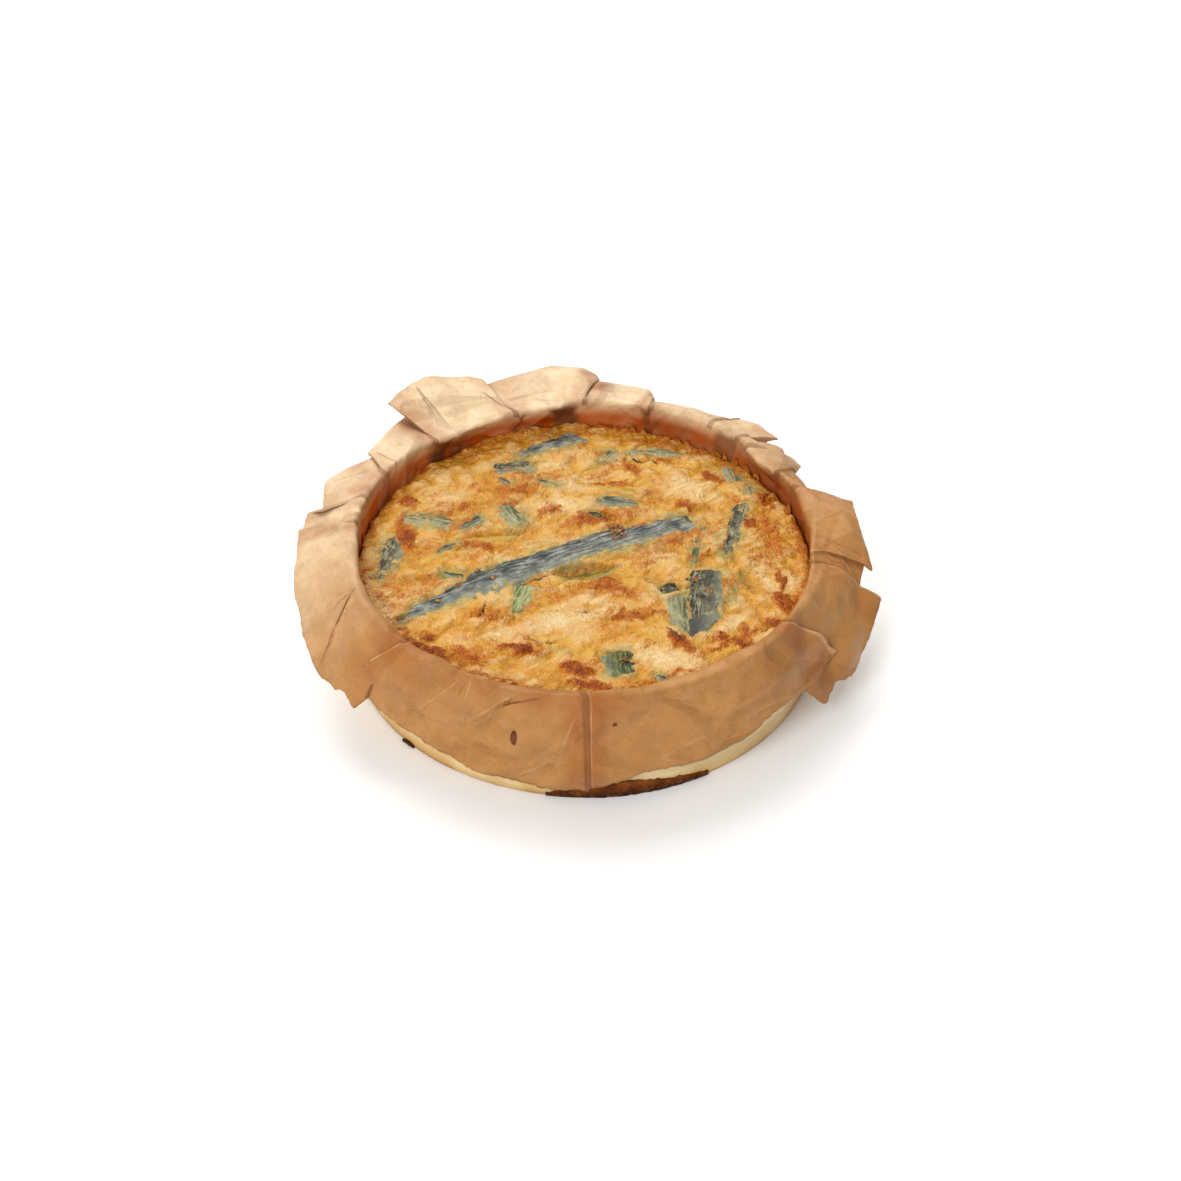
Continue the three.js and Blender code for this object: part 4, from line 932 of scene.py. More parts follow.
def leek_material(tone):
    """Cooked leek leaf: pale ribs with painted highlights and dark lines along it, more dark lines
    on one side as painted shade, pale grains, a smooth bloom, custard that has run over it in a
    thin sheet on the other side together with painted light there, custard in spots, and singed
    edges."""
    dark, body, pale, grains = LEEK_TONES[tone]
    material, tree, shader, place = new_material("leek_" + tone)
    spot = place.outputs["Object"]
    broad, thin = (
        effect(tree, "Grain", Vector=place.outputs["UV"], Stretch=stretch, Low=0.0, High=1.0)
        for stretch in ((1.3, 9.0, 1.0), (2.6, 30.0, 1.0))
    )
    cloud = effect(tree, "Mottle", Vector=spot, Scale=230.0, Detail=3.0)
    fine = effect(tree, "Mottle", Vector=spot, Scale=1100.0, Detail=2.0)
    colour = blend(tree, cloud, body, blend(tree, 0.3, body, pale))
    streak = maths(tree, "ADD", broad, times(tree, thin, 0.6))
    # Pale ribs along the leaf, partly painted highlights on them
    lights = times(tree, step(tree, streak, 0.84, 1.08), mix_share(tree, cloud, 0.5))
    colour = blend(tree, times(tree, lights, 0.5), colour, pale)
    # More dark lines on one side of the leaf, as painted shade
    deep = times(tree, share_of(tree, "deep"), 0.2)
    lines = step(tree, maths(tree, "SUBTRACT", streak, deep), 0.78, 0.58)
    colour = blend(tree, times(tree, lines, 0.88), colour, dark)
    dots = effect(tree, "Specks", Vector=spot, Scale=760.0, Size=0.6, Share_of_cells=0.5)
    dots = times(tree, times(tree, dots, grains), mix_share(tree, cloud, 0.3))
    colour = blend(tree, dots, colour, pale)
    colour = blend(tree, share_of(tree, "bloom"), colour, "3e4240")
    # Custard run over one side of the leaf, together with painted light on that side
    veil_and_light = times(tree, share_of(tree, "veil_and_light"), mix_share(tree, fine, 0.6))
    colour = blend(tree, veil_and_light, colour, blend(tree, cloud, "a8a888", "c4bb90"))
    covered = maths(tree, "ADD", share_of(tree, "covered"), times(tree, fine, 0.3))
    custard = blend(tree, cloud, "ccaa60", "aa925a")
    colour = blend(tree, step(tree, covered, 0.66, 0.95), colour, custard)
    colour = blend(tree, share_of(tree, "singed"), colour, "7a4a20")
    set_shader(tree, shader, colour, step(tree, fine, 0.0, 1.0, 0.3, 0.5), 0.42, (1.0, 0.93, 0.8))
    relief = maths(tree, "ADD", times(tree, streak, 1.6), dots)
    set_bump(tree, shader, maths(tree, "MULTIPLY_ADD", fine, 0.5, relief), 0.3)
    return material


def crust_material():
    """Baked-on custard at the foot: dark brown, glossy, with orange lights on its grains."""
    material, tree, shader, place = new_material("baked_crust")
    spot = place.outputs["Object"]
    grains = effect(tree, "Mottle", Vector=spot, Scale=600.0, Detail=3.0)
    cloud = effect(tree, "Mottle", Vector=spot, Scale=130.0, Detail=2.0)
    colour = blend(tree, cloud, "5a2602", "8c480c")
    height = node(tree, "SeparateXYZ", {"Vector": spot}).outputs["Z"]
    burnt = maths(tree, "ADD", step(tree, height, 0.006, 0.0), times(tree, grains, 0.5))
    colour = blend(tree, step(tree, burnt, 0.2, 1.4, 0.0, 0.85), colour, "240c02")
    set_shader(tree, shader, colour, step(tree, grains, 0.0, 1.0, 0.28, 0.55), 0.2, (1.0, 0.7, 0.4))
    set_bump(tree, shader, grains, 0.25)
    return material


def crumb_material():
    """Toasted cheese crumbs: red-brown with darker pits."""
    material, tree, shader, place = new_material("toasted_crumb")
    spot = place.outputs["Object"]
    pits = effect(tree, "Mottle", Vector=spot, Scale=900.0, Detail=3.0)
    warm = effect(tree, "Mottle", Vector=spot, Scale=300.0, Detail=2.0)
    colour = blend(tree, warm, "8e5018", "c08640")
    colour = blend(tree, times(tree, pits, 0.6), colour, "5a2a0c")
    set_shader(tree, shader, colour, step(tree, pits, 0.0, 1.0, 0.3, 0.55))
    set_bump(tree, shader, pits, 0.12)
    return material


def flake_material():
    """Thin dried custard: amber, browner at its tips."""
    material, tree, shader, place = new_material("dried_flake")
    spot = place.outputs["Object"]
    cloud = effect(tree, "Mottle", Vector=spot, Scale=500.0, Detail=2.0)
    colour = blend(tree, cloud, "d98a34", "b8641c")
    colour = blend(tree, share_of(tree, "tip"), colour, "8f4413")
    set_shader(tree, shader, colour, step(tree, cloud, 0.0, 1.0, 0.35, 0.55))
    set_bump(tree, shader, cloud, 0.08)
    return material


def floor_material(settings):
    """The plain pale floor, a little uneven in gloss and faintly lit from itself."""
    material, tree, shader, place = new_material("studio_floor")
    cloud = effect(tree, "Mottle", Vector=place.outputs["Object"], Scale=6.0)
    set_shader(tree, shader, paint(settings.floor), step(tree, cloud, 0.0, 1.0, 0.85, 0.95), 0.1)
    shader.inputs["Emission Color"].default_value = (1.0, 0.98, 0.96, 1.0)
    shader.inputs["Emission Strength"].default_value = 0.035
    return material


# Shapes

def paper_columns(spacing):
    """Columns of the sheet in order round it: crest, tip, bow, level, distance from the nearest
    pleat, and whether it lies on top there. Each panel runs straight from rib to rib, its creases
    a little rounded, and rises or sinks in level to the pleat at its end, where two short folds
    turn it back."""
    ribs = [np.array(panel[1], float) for panel in PANELS]
    crests = [polar(r[:, 0], r[:, 1], CREST_Z) for r in ribs]
    tips = [polar(r[:, 2], r[:, 3], r[:, 4]) for r in ribs]
    parts = []
    for p, panel in enumerate(ribs):
        before, after = PANELS[p - 1][0], PANELS[p][0]
        q = (p + 1) % len(ribs)
        marks = np.concatenate([crests[p], tips[p], panel[:, 5:6]], axis=1)
        widths = np.maximum(
            np.linalg.norm(np.diff(crests[p], axis=0), axis=1),
            0.9 * np.linalg.norm(np.diff(tips[p], axis=0), axis=1),
        )
        counts = np.maximum(2, np.round(widths / spacing)).astype(int)
        places = np.concatenate(
            [k + np.arange(n) / n for k, n in enumerate(counts)] + [[len(counts)]]
        )
        lines = [np.interp(places, np.arange(len(marks)), marks[:, c]) for c in range(7)]
        columns = np.stack(lines, axis=1)
        columns[1:-1] = (columns[:-2] + 2 * columns[1:-1] + columns[2:]) / 4
        run = np.linalg.norm(columns[:, :3] - crests[p][0], axis=1)
        level = mix(-before, after, np.clip(run / run[-1], 0, 1)) * TOP_LEVEL
        left = run[-1] - run
        on_top = np.where(run < left, before < 0, after > 0)
        parts.append(np.column_stack([columns, level, np.minimum(run, left), on_top]))
        end = np.concatenate([marks[-1], [after * TOP_LEVEL, 0, 0]])
        start = np.concatenate(
            [crests[q][0], tips[q][0], ribs[q][0, 5:6], [-after * TOP_LEVEL, 0, 0]]
        )
        back, forth = end.copy(), start.copy()
        back[:3], back[7] = mix(end[:3], start[:3], 1 / 3), after * RETURN_LEVEL
        forth[:3], forth[7] = mix(end[:3], start[:3], 2 / 3), -after * RETURN_LEVEL
        folds = [mix(end, back, 0.5), back, mix(back, forth, 0.33), mix(back, forth, 0.67), forth]
        parts.append(np.array(folds + [mix(forth, start, 0.5)]))
    return np.concatenate(parts)


def paper_surface(columns):
    """Middle surface of the paper, row by row from floor to tip, and the direction that its
    visible side faces. The wall is a cylinder, the rim a rounded roll, and each flap a curve of
    the second degree from the shoulder to its tip, pushed out by its bow and its level."""
    crest, tip, bow, level = columns[:, :3], columns[:, 3:6], columns[:, 6:7], columns[:, 7:8]
    azimuth = np.degrees(np.arctan2(crest[:, 1], crest[:, 0]))
    crest_radius = np.hypot(crest[:, 0], crest[:, 1])
    inside = np.minimum(crest_radius - CREST_ROLL, PAPER_WALL_RADIUS - 0.1)
    keys = [
        (PAPER_WALL_RADIUS - PAPER_CORNER, PAPER_FLOOR_Z, 1),
        (PAPER_WALL_RADIUS, PAPER_FLOOR_Z + PAPER_CORNER, 2),
        (PAPER_WALL_RADIUS, WALL_BREAKS_Z[0], 6),
        (PAPER_WALL_RADIUS, WALL_BREAKS_Z[1], 9),
        (inside, RIM_INSIDE_Z, 3),
        (crest_radius, CREST_Z, 4),
    ]
    stations = [polar(azimuth, radius, z) for radius, z, _ in keys]
    tip_radius = np.hypot(tip[:, 0], tip[:, 1])
    across = np.clip((SHOULDER_RADIUS - crest_radius) / (tip_radius - crest_radius), 0, 1)
    shoulder = mix(crest, tip, across[:, None])
    shoulder[:, :2] *= (SHOULDER_RADIUS / np.hypot(shoulder[:, 0], shoulder[:, 1]))[:, None]
    shoulder[:, 2] = SHOULDER_Z
    out = np.column_stack([tip[:, 0] / tip_radius, tip[:, 1] / tip_radius, 0 * tip_radius])
    run = np.einsum("ij,ij->i", tip - shoulder, out)[:, None]
    rise = (tip[:, 2] - shoulder[:, 2])[:, None]
    normal = -rise * out
    normal[:, 2:] = run
    normal /= np.linalg.norm(normal, axis=1)[:, None]
    middle = (shoulder + tip) / 2 + 2 * bow * normal

    def flap(t):
        opened = np.interp(t, [0, 0.18, 0.4, 0.7, 1], [0.3, 0.7, 1, 1, 1])
        curve = shoulder * (1 - t) ** 2 + 2 * middle * t * (1 - t) + tip * t * t
        return curve + normal * level * LAP * opened

    stations.append(flap(0.0))
    rows = []
    for k, (_, _, steps) in enumerate(keys):
        rows += [mix(stations[k], stations[k + 1], s / steps) for s in range(steps)]
    roll_from, roll_to = len(rows) - 9, len(rows) + 3
    rows += [flap(t) for t in np.linspace(0, 1, FLAP_ROWS)]
    sheet = np.array(rows)
    part = sheet[roll_from - 1 : roll_to + 2]
    sheet[roll_from : roll_to + 1] = (part[:-2] + 2 * part[1:-1] + part[2:]) / 4
    inwards = -polar(azimuth, 1.0, 0.0)
    turn = np.linspace(0, 1, len(sheet))
    bend = (len(sheet) - FLAP_ROWS) / len(sheet)
    share = smooth((turn - bend + 0.09) / 0.12)[:, None, None]
    side = mix(inwards[None], normal[None], share)
    side[:, :, 2] += 4 * (share * (1 - share))[:, :, 0]
    side /= np.linalg.norm(side, axis=2)[:, :, None]
    return sheet, side


def distance_3d(points, a, b):
    """Distance from points to the straight piece between a and b, and the share along it."""
    a, b = np.array(a), np.array(b)
    t = np.clip(((points - a) @ (b - a)) / ((b - a) @ (b - a)), 0, 1)
    return np.linalg.norm(points - a - t[..., None] * (b - a), axis=-1), t


def crumple(sheet, side, depth, seed):
    """Pushes the paper in and out: flat facets from waves of straight folds in seeded
    directions, each only in some places, broad noise, many short straight creases, and the
    creases of the table. Each crease is a ridge that falls off as exp(-d / w). What hangs close
    to the mould stands off a little more."""
    x, y, z = (sheet[:, :, i] for i in range(3))
    draws = np.random.default_rng(seed)
    push = 0.5 * depth * noise(x / 24, y / 24, 51, z / 24)
    push = push + 0.14 * depth * noise(x / 7, y / 7, 52, z / 7)
    for k in range(FOLD_WAVES):
        way = draws.normal(0, 1, 3)
        way = way / np.linalg.norm(way)
        turns = (sheet @ way) / draws.uniform(*FOLD_SPACING) + draws.uniform()
        fold = 4 * np.abs(turns - np.floor(turns) - 0.5) - 1
        where = smooth(0.35 + 1.5 * noise(x / 31 + 9 * k, y / 31, 53, z / 31))
        push = push + draws.uniform(0.35, 0.75) * depth * fold * where
    rows, columns = sheet.shape[:2]
    flaps = smooth((np.arange(rows) - (rows - FLAP_ROWS)) / 4)[:, None]
    for _ in range(SHORT_CREASES):
        i = draws.integers(FIRST_CREASED_ROW, rows)
        j = draws.integers(0, columns)
        a = sheet[i, j]
        i_end = np.clip(i + draws.integers(-14, 15), FIRST_CREASED_ROW, rows - 1)
        b = sheet[i_end, (j + draws.integers(-18, 19)) % columns]
        height = draws.uniform(-0.4, 0.4) * depth
        width = draws.uniform(*CREASE_WIDTHS)
        if CREASE_LENGTHS[0] < np.linalg.norm(b - a) < CREASE_LENGTHS[1]:
            d, t = distance_3d(sheet, a, b)
            push = push + height * np.exp(-d / width) * smooth(4 * t * (1 - t) + 0.35)
    for a, b, height, width, _ in CREASES:
        d, t = distance_3d(sheet, a, b)
        push = push + height * np.exp(-d / width) * smooth(6 * t * (1 - t) + 0.3)
    wall = smooth((z - 30) / 12) * (1 - flaps)
    weight = np.maximum(flaps, 0.6 * wall)
    push = push * weight
    push = np.where(flaps < 0.5, np.maximum(push, -0.25), push)
    hanging = flaps * smooth((MOULD_HEIGHT - 3 - z) / 8) * smooth((100 - np.hypot(x, y)) / 5)
    push = push + 0.9 * depth * hanging
    return sheet + side * push[:, :, None]


def crease_lines(sheet, side):
    """For every place the nearest crease of the table: signed distance across it in the sheet,
    its height and its line, both fading towards its ends and away from it."""
    nearest = np.full(sheet.shape[:2], 99.0)
    across, height, line = nearest.copy(), 0 * nearest, 0 * nearest
    for a, b, tall, _, tone in CREASES:
        d, t = distance_3d(sheet, a, b)
        middle = np.linalg.norm(sheet - (np.array(a) + b) / 2, axis=2)
        way = np.cross(np.subtract(b, a), side.reshape(-1, 3)[np.argmin(middle)])
        off = (sheet - a) @ (way / np.linalg.norm(way))
        closer = d < nearest
        ends = smooth(7 * t * (1 - t) + 0.15) * smooth((4.5 - d) / 2.5)
        nearest = np.where(closer, d, nearest)
        across = np.where(closer, off, across)
        height = np.where(closer, tall * ends, height)
        line = np.where(closer, tone * ends, line)
    return across, height, line


def keep_off(sheet, level):
    """Keeps the hanging paper outside the mould: below the rim its radius stays above the
    mould's by a gap that grows with the column's level."""
    radius = np.hypot(sheet[:, :, 0], sheet[:, :, 1])
    least = MOULD_RADIUS + 0.3 + 0.3 * (level[None, :] + TOP_LEVEL)
    flap = (np.arange(len(sheet)) > len(sheet) - FLAP_ROWS)[:, None]
    hangs = (sheet[:, :, 2] < MOULD_HEIGHT) & flap
    grow = np.where(hangs, np.maximum(1, least / radius), 1)
    return sheet * np.stack([grow, grow, np.ones_like(grow)], axis=-1)


def grid_normals(sheet):
    """Normals of a closed grid from the differences between neighbours, rows by columns."""
    along = np.roll(sheet, -1, axis=1) - np.roll(sheet, 1, axis=1)
    normals = np.cross(np.gradient(sheet, axis=0), along)
    return normals / np.maximum(np.linalg.norm(normals, axis=2), 1e-9)[:, :, None]


def build_paper(settings):
    """The whole sheet as a closed shell: its middle surface set off to both sides, closed over
    the floor by a fan and along the tips by a band."""
    columns = paper_columns(settings.spacing / MM)
    sheet, side = paper_surface(columns)
    azimuth = np.degrees(np.arctan2(sheet[:, :, 1], sheet[:, :, 0])) % 360
    rows, count = sheet.shape[:2]
    wall = (np.arange(rows) < rows - FLAP_ROWS - 3)[:, None]
    z = sheet[:, :, 2]
    ragged = noise(azimuth / 0.9, 0.0, 61) + 0.6 * noise(azimuth / 0.33, 0.0, 62)
    tip = smooth((np.arange(rows) - rows + 5) / 4)[:, None]
    sheet = sheet + RAGGED_TIP * (ragged * tip)[:, :, None] * np.gradient(sheet, axis=0)
    # Pleats inside the rim: doubled paper, darkened also as painted shade in the pleat, and pushed
    # in
    pleat_and_shade = np.zeros((rows, count))
    for start, end, dark in GUSSETS:
        middle, half = (start + end) / 2, (end - start) / 2
        lean = math.copysign(0.12, math.sin(7 * middle))
        slant = lean * (z - 42) + 0.8 * noise(z / 4, azimuth / 4, 64)
        off = np.abs((azimuth - middle - slant + 180) % 360 - 180) / half
        pleat_and_shade = np.maximum(pleat_and_shade, dark * smooth((1.3 - off) / 0.7))
        push = 0.9 * np.maximum(0, 1 - off) * wall * smooth((z - 34) / 8)
        sheet = sheet + side * push[:, :, None]
    flat = sheet
    sheet = crumple(sheet, side, settings.crumple / MM, settings.seed)
    sheet = keep_off(sheet, columns[:, 7])
    crease, crease_height, crease_line = crease_lines(sheet, side)
    soaked = np.zeros((rows, count))
    for middle, reach, strength in SOAKED:
        d = np.linalg.norm(sheet - np.array(middle), axis=2) / reach
        soaked = np.maximum(soaked, strength * np.exp(-d * d * 1.4))
    drop = np.full((rows, count), 2.0)
    for middle, wide, high in DROPS:
        off = flat - np.array(middle)
        d = np.hypot(np.hypot(off[:, :, 0], off[:, :, 1]) / wide, off[:, :, 2] / high)
        drop = np.minimum(drop, (d - 1) * min(wide, high))
    # Oil soaked into the inner wall and painted shade, both deepening down the wall from the rim
    depth = smooth((CREST_Z - 1.4 - z) / 7.0) * wall
    oil_and_shade = np.minimum(1, depth * (1.0 + 0.2 * noise(azimuth / 6, z / 5, 63)))
    # Painted shade on the inner wall round azimuth 30 degrees and at the front, deepening down from
    # the rim
    turned = np.radians(azimuth)
    shaded = smooth((np.maximum(np.cos(turned - 0.52), -np.sin(turned)) - 0.5) / 0.35)
    pleat_and_shade = np.maximum(pleat_and_shade, 0.5 * depth * shaded)
    inside = smooth((CREST_Z + 0.2 - z) / 3.5) * wall
    # Painted light: a share that grows towards the back and left, where the key light falls
    painted_light = smooth((0.9 * sheet[:, :, 1] - 0.4 * sheet[:, :, 0] + 30) / 100)
    normals = grid_normals(sheet)
    half = settings.paper_thickness / MM / 2
    pole = np.array([[0, 0, PAPER_FLOOR_Z]])
    lift = np.array([[0, 0, half]])
    upwards = np.sign(normals[0, 0, 2])
    upper = sheet + normals * half * upwards
    lower = sheet - normals * half * upwards
    points = np.concatenate(
        [upper.reshape(-1, 3), pole + lift, lower.reshape(-1, 3), pole - lift]
    )
    total = rows * count + 1
    quads = grid_quads(rows, count, closed=True)
    j = np.arange(count)
    fan = np.stack([np.full(count, total - 1), (j + 1) % count, j], axis=-1)
    last = (rows - 1) * count + j
    after = (rows - 1) * count + (j + 1) % count
    band = np.stack([last, after, after + total, last + total], axis=-1)
    quads = np.concatenate([quads, quads[:, ::-1] + total, band])
    triangles = np.concatenate([fan, fan[:, ::-1] + total])

    def both(values, pole_value):
        return np.tile(np.append(values.ravel(), pole_value), 2)

    return points, quads, triangles, {
        "soaked": both(soaked, 0.0),
        "oil_and_shade": both(np.maximum(oil_and_shade, 0), 1.0),
        "pleat_and_shade": both(pleat_and_shade * inside, 0.0),
        "painted_light": both(painted_light, 0.0),
        "edge": both(columns[None, :, 8] + 12 * depth, 12.0),
        "on_top": both(np.broadcast_to(columns[:, 9], z.shape), 0.0),
        "drop": both(drop, 2.0),
        "crease": both(crease, 99.0),
        "crease_height": both(crease_height, 0.0),
        "crease_line": both(crease_line, 0.0),
    }


def disc_grid(size, radius):
    """A square grid bent to a disc, rings of the square becoming circles."""
    line = np.linspace(-1, 1, size)
    a, b = np.meshgrid(line, line)
    ring = np.maximum(np.abs(a), np.abs(b))
    wide = np.abs(a) >= np.abs(b)
    safe = np.where(ring == 0, 1, ring)
    angle = np.where(wide, (math.pi / 4) * b / np.where(wide & (a != 0), a, safe), 0)
    angle = np.where(wide & (a < 0), angle + math.pi, angle)
    upright = math.pi / 2 - (math.pi / 4) * a / np.where(~wide & (b != 0), b, safe)
    upright = np.where(~wide & (b < 0), upright + math.pi, upright)
    angle = np.where(wide, angle, upright)
    return radius * ring * np.cos(angle), radius * ring * np.sin(angle)


def top_relief(x, y, depth):
    """Fine relief of the baked top: curds of four sizes, folded noise on warped coordinates that
    run with the long leaf, browned places standing proud, pits, leaves pressed in, cracks cut in,
    and an edge that rounds down at left and right but clings to the paper at back and front."""
    u = CURDS_WAY[0] * x + CURDS_WAY[1] * y + 2.2 * noise(x / 9, y / 9, 71)
    v = CURDS_WAY[0] * y - CURDS_WAY[1] * x + 2.2 * noise(x / 9, y / 9, 72)
    puffs = 1.1 * np.abs(noise(u / 9, v / 5.5, 70)) + 0.6 * np.abs(noise(u / 4.2, v / 2.8, 73))
    curds = puffs + 0.2 * np.abs(noise(u / 1.9, v / 1.4, 74)) - 0.58
    browned = patches(x, y, BROWNED)
    pale = patches(x, y, PALE)
    rough = 0.9 + 0.3 * browned - 0.2 * pale
    grains = noise(u / 1.3, v / 1.0, 75) * (0.1 + 0.35 * np.minimum(1, browned))
    z = filling_top(x, y) + depth * curds * rough + grains + 0.6 * browned
    pit = pits(x, y, 0.15 * curds)
    z = z - pit
    pressed = np.zeros_like(x)
    near = np.zeros_like(x)
    for leaf in LEAVES:
        outside, inside = leaf_place(leaf, x, y)
        inside = inside + 0.5 * noise(x / 1.6, y / 1.6, 77) - 0.5 - 0.7 * leaf[6]
        pressed = np.maximum(pressed, smooth(inside / 1.2))
        halo = 0.25 if leaf[5] in ("yellow", "olive") else 0.8
        near = np.maximum(near, halo * np.exp(-((outside / 3.2) ** 2)))
    z = z - (1.1 + 0.6 * np.maximum(0, curds)) * pressed
    crack = np.full_like(x, 3.0)
    for points, width in CRACKS:
        jitter = 0.5 * noise(x / 1.1, y / 1.1, 78)
        crack = np.minimum(crack, distance_to_line(x + jitter, y - jitter, points) - width / 2)
    z = z - 1.1 * smooth(-(crack - 0.35) / 0.5)
    r = np.hypot(x, y)
    azimuth = np.degrees(np.arctan2(y, x))
    sides = smooth((72 - np.abs(np.abs(azimuth - 88) - 92)) / 30)
    edge = np.clip((r - (FILLING_RADIUS - SIDE_ROUND)) / SIDE_ROUND, 0, 1)
    z = z - SIDE_DROP * sides * (1 - np.sqrt(np.maximum(0, 1 - edge * edge)))
    rim = smooth((r - TOASTED_FROM) / TOASTED_WIDTH)
    back = smooth((np.sin(np.radians(azimuth)) + 0.35) / 0.7)
    toasted = rim * (0.24 + 0.12 * back + 0.26 * noise(x / 5, y / 5, 79))
    general = 0.07 + 0.26 * noise(u / 12, v / 8, 80) + 0.1 * noise(u / 3, v / 2, 81)
    general = general * (1 - 0.8 * pale) + 0.1 * curds
    lumps = browned * (0.9 + 0.4 * curds)
    near = near * (0.6 + 0.4 * noise(x / 4, y / 4, 82))
    shares = {
        "browned": np.maximum(np.maximum(lumps, toasted), general),
        "green": np.maximum(near, patches(x, y, TINTED)),
        "pale": pale,
        "yellow": patches(x, y, YELLOW),
        "raised": curds,
        "pit": pit,
        "crack": crack,
    }
    return z, shares


def build_filling(settings):
    """The filling: a disc of fine grid over the top, a wall that rounds in to the floor, and a
    fan below."""
    size = settings.grid
    x, y = disc_grid(size, FILLING_RADIUS)
    z, shares = top_relief(x, y, settings.relief / MM)
    top = np.stack([x, y, z], axis=-1).reshape(-1, 3)
    ring = border(size, size)
    count = len(ring)
    edge = top[ring]
    points, quads, previous = [top], [grid_quads(size, size)], ring
    below = [
        (1.0, 30.0),
        (1.0, FILLING_BOTTOM_Z + PAPER_CORNER),
        (1 - PAPER_CORNER / FILLING_RADIUS, FILLING_BOTTOM_Z),
    ]
    first = len(top)
    for share, height in below:
        row = edge * [share, share, 0] + [0, 0, height]
        points.append(row)
        numbers = first + np.arange(count)
        quads.append(
            np.stack([previous, numbers, np.roll(numbers, -1), np.roll(previous, -1)], axis=-1)
        )
        previous, first = numbers, first + count
    points.append(np.array([[0, 0, FILLING_BOTTOM_Z]]))
    fan = np.stack([np.full(count, first), np.roll(previous, -1), previous], axis=-1)
    points = np.concatenate(points)
    for key, values in shares.items():
        rest = np.full(len(points) - len(top), 3.0 if key == "crack" else 0.2)
        shares[key] = np.concatenate([values.ravel(), rest])
    return points, np.concatenate(quads), fan, shares


def build_leaf(leaf, spacing):
    """A leaf: a thin wavy slab along its bowed middle line that lies in the baked top, with ribs
    along it and wrinkles across it, a ragged edge and its sides sinking into the custard."""
    name, start, end, bow, half, _, cover = leaf
    line = np.subtract(end, start)
    length = math.hypot(*line)
    ahead = line / length
    steps = max(6, round(length / spacing))
    widest = max(half)
    across_steps = max(6, 2 * round(widest / spacing))
    t = np.linspace(0, 1, steps + 1)[:, None]
    s = np.linspace(-1, 1, across_steps + 1)[None, :]
    width = np.interp(t, np.linspace(0, 1, len(half)), half)
    ragged = noise(t * length / 5.5, np.sign(s) * 3, 91)
    ragged = ragged + 0.5 * noise(t * length / 2, np.sign(s) * 5, 90)
    ragged = 1.2 + 0.2 * ragged * np.abs(s) ** 3
    off = s * width * ragged + bow * 4 * t * (1 - t)
    reach = t * length + 0.5 * noise(s * widest / 1.3, 0.0, 92) * np.abs(2 * t - 1) ** 6
    x = start[0] + ahead[0] * reach - ahead[1] * off
    y = start[1] + ahead[1] * reach + ahead[0] * off
    sink = 1.0 * np.abs(s) ** 8 + 0.5 * np.abs(2 * t - 1) ** 24
    ribs = 0.16 * noise(s * width / 0.7, t * length / 9, 93) * (1 - sink / 2)
    folds = 0.22 * noise(t * length / 1.6 + s * 0.7, s * width / 3.2, 94)
    wave = 0.3 * noise(x / 5, y / 5, 7) + ribs + folds * (1 - sink / 2)
    base = filling_top(x, y)
    top = np.stack([x, y, base + 0.15 + wave - sink - 0.6 * pits(x, y)], axis=-1)
    bottom = np.stack([x, y, base - LEAF_THICKNESS - LEAF_SUNK], axis=-1)
    points, quads = between_sheets(top, bottom)
    uv = np.stack(np.broadcast_arrays(t * length / 10, off / 10), axis=-1).reshape(-1, 2)
    spots = 0.5 + 0.5 * noise(x / 3.4, y / 3.4, 95) + 0.4 * noise(x / 0.9, y / 0.9, 96)
    rim = np.maximum(np.abs(s) ** 5, np.abs(2 * t - 1) ** 12)
    crusty = 0.5 + 0.5 * noise(x / 2.2, y / 2.2, 99)
    covered = np.clip(spots * (0.15 + 1.3 * cover) + 0.6 * rim * crusty * (cover > 0.05), 0, 1.2)
    # The side is picked by which way the leaf runs along x: one side takes custard run over it and
    # painted light, the other more dark lines as painted shade
    lean = np.broadcast_to(0.5 + 0.5 * s * math.copysign(1, -ahead[0]), x.shape)
    veil_and_light = smooth((lean - 0.4) / 0.7) * (0.6 + 0.4 * noise(x / 4, y / 4, 98)) * (cover > 0.05)
    singed = np.clip(noise(x / 3, y / 3, 97) - 0.55, 0, 1) * 0.9 * rim
    bloom = 0.9 * smooth((t - 0.66 + 0.1 * s) / 0.08) * (1 - rim) * (name == BLOOMED)
    deep = smooth((0.55 - lean) / 0.5)
    shares = {"covered": covered, "veil_and_light": veil_and_light, "bloom": bloom, "deep": deep, "singed": singed}
    shares = {key: np.tile(values.ravel(), 2) for key, values in shares.items()}
    return points, quads, shares, np.tile(uv, (2, 1))


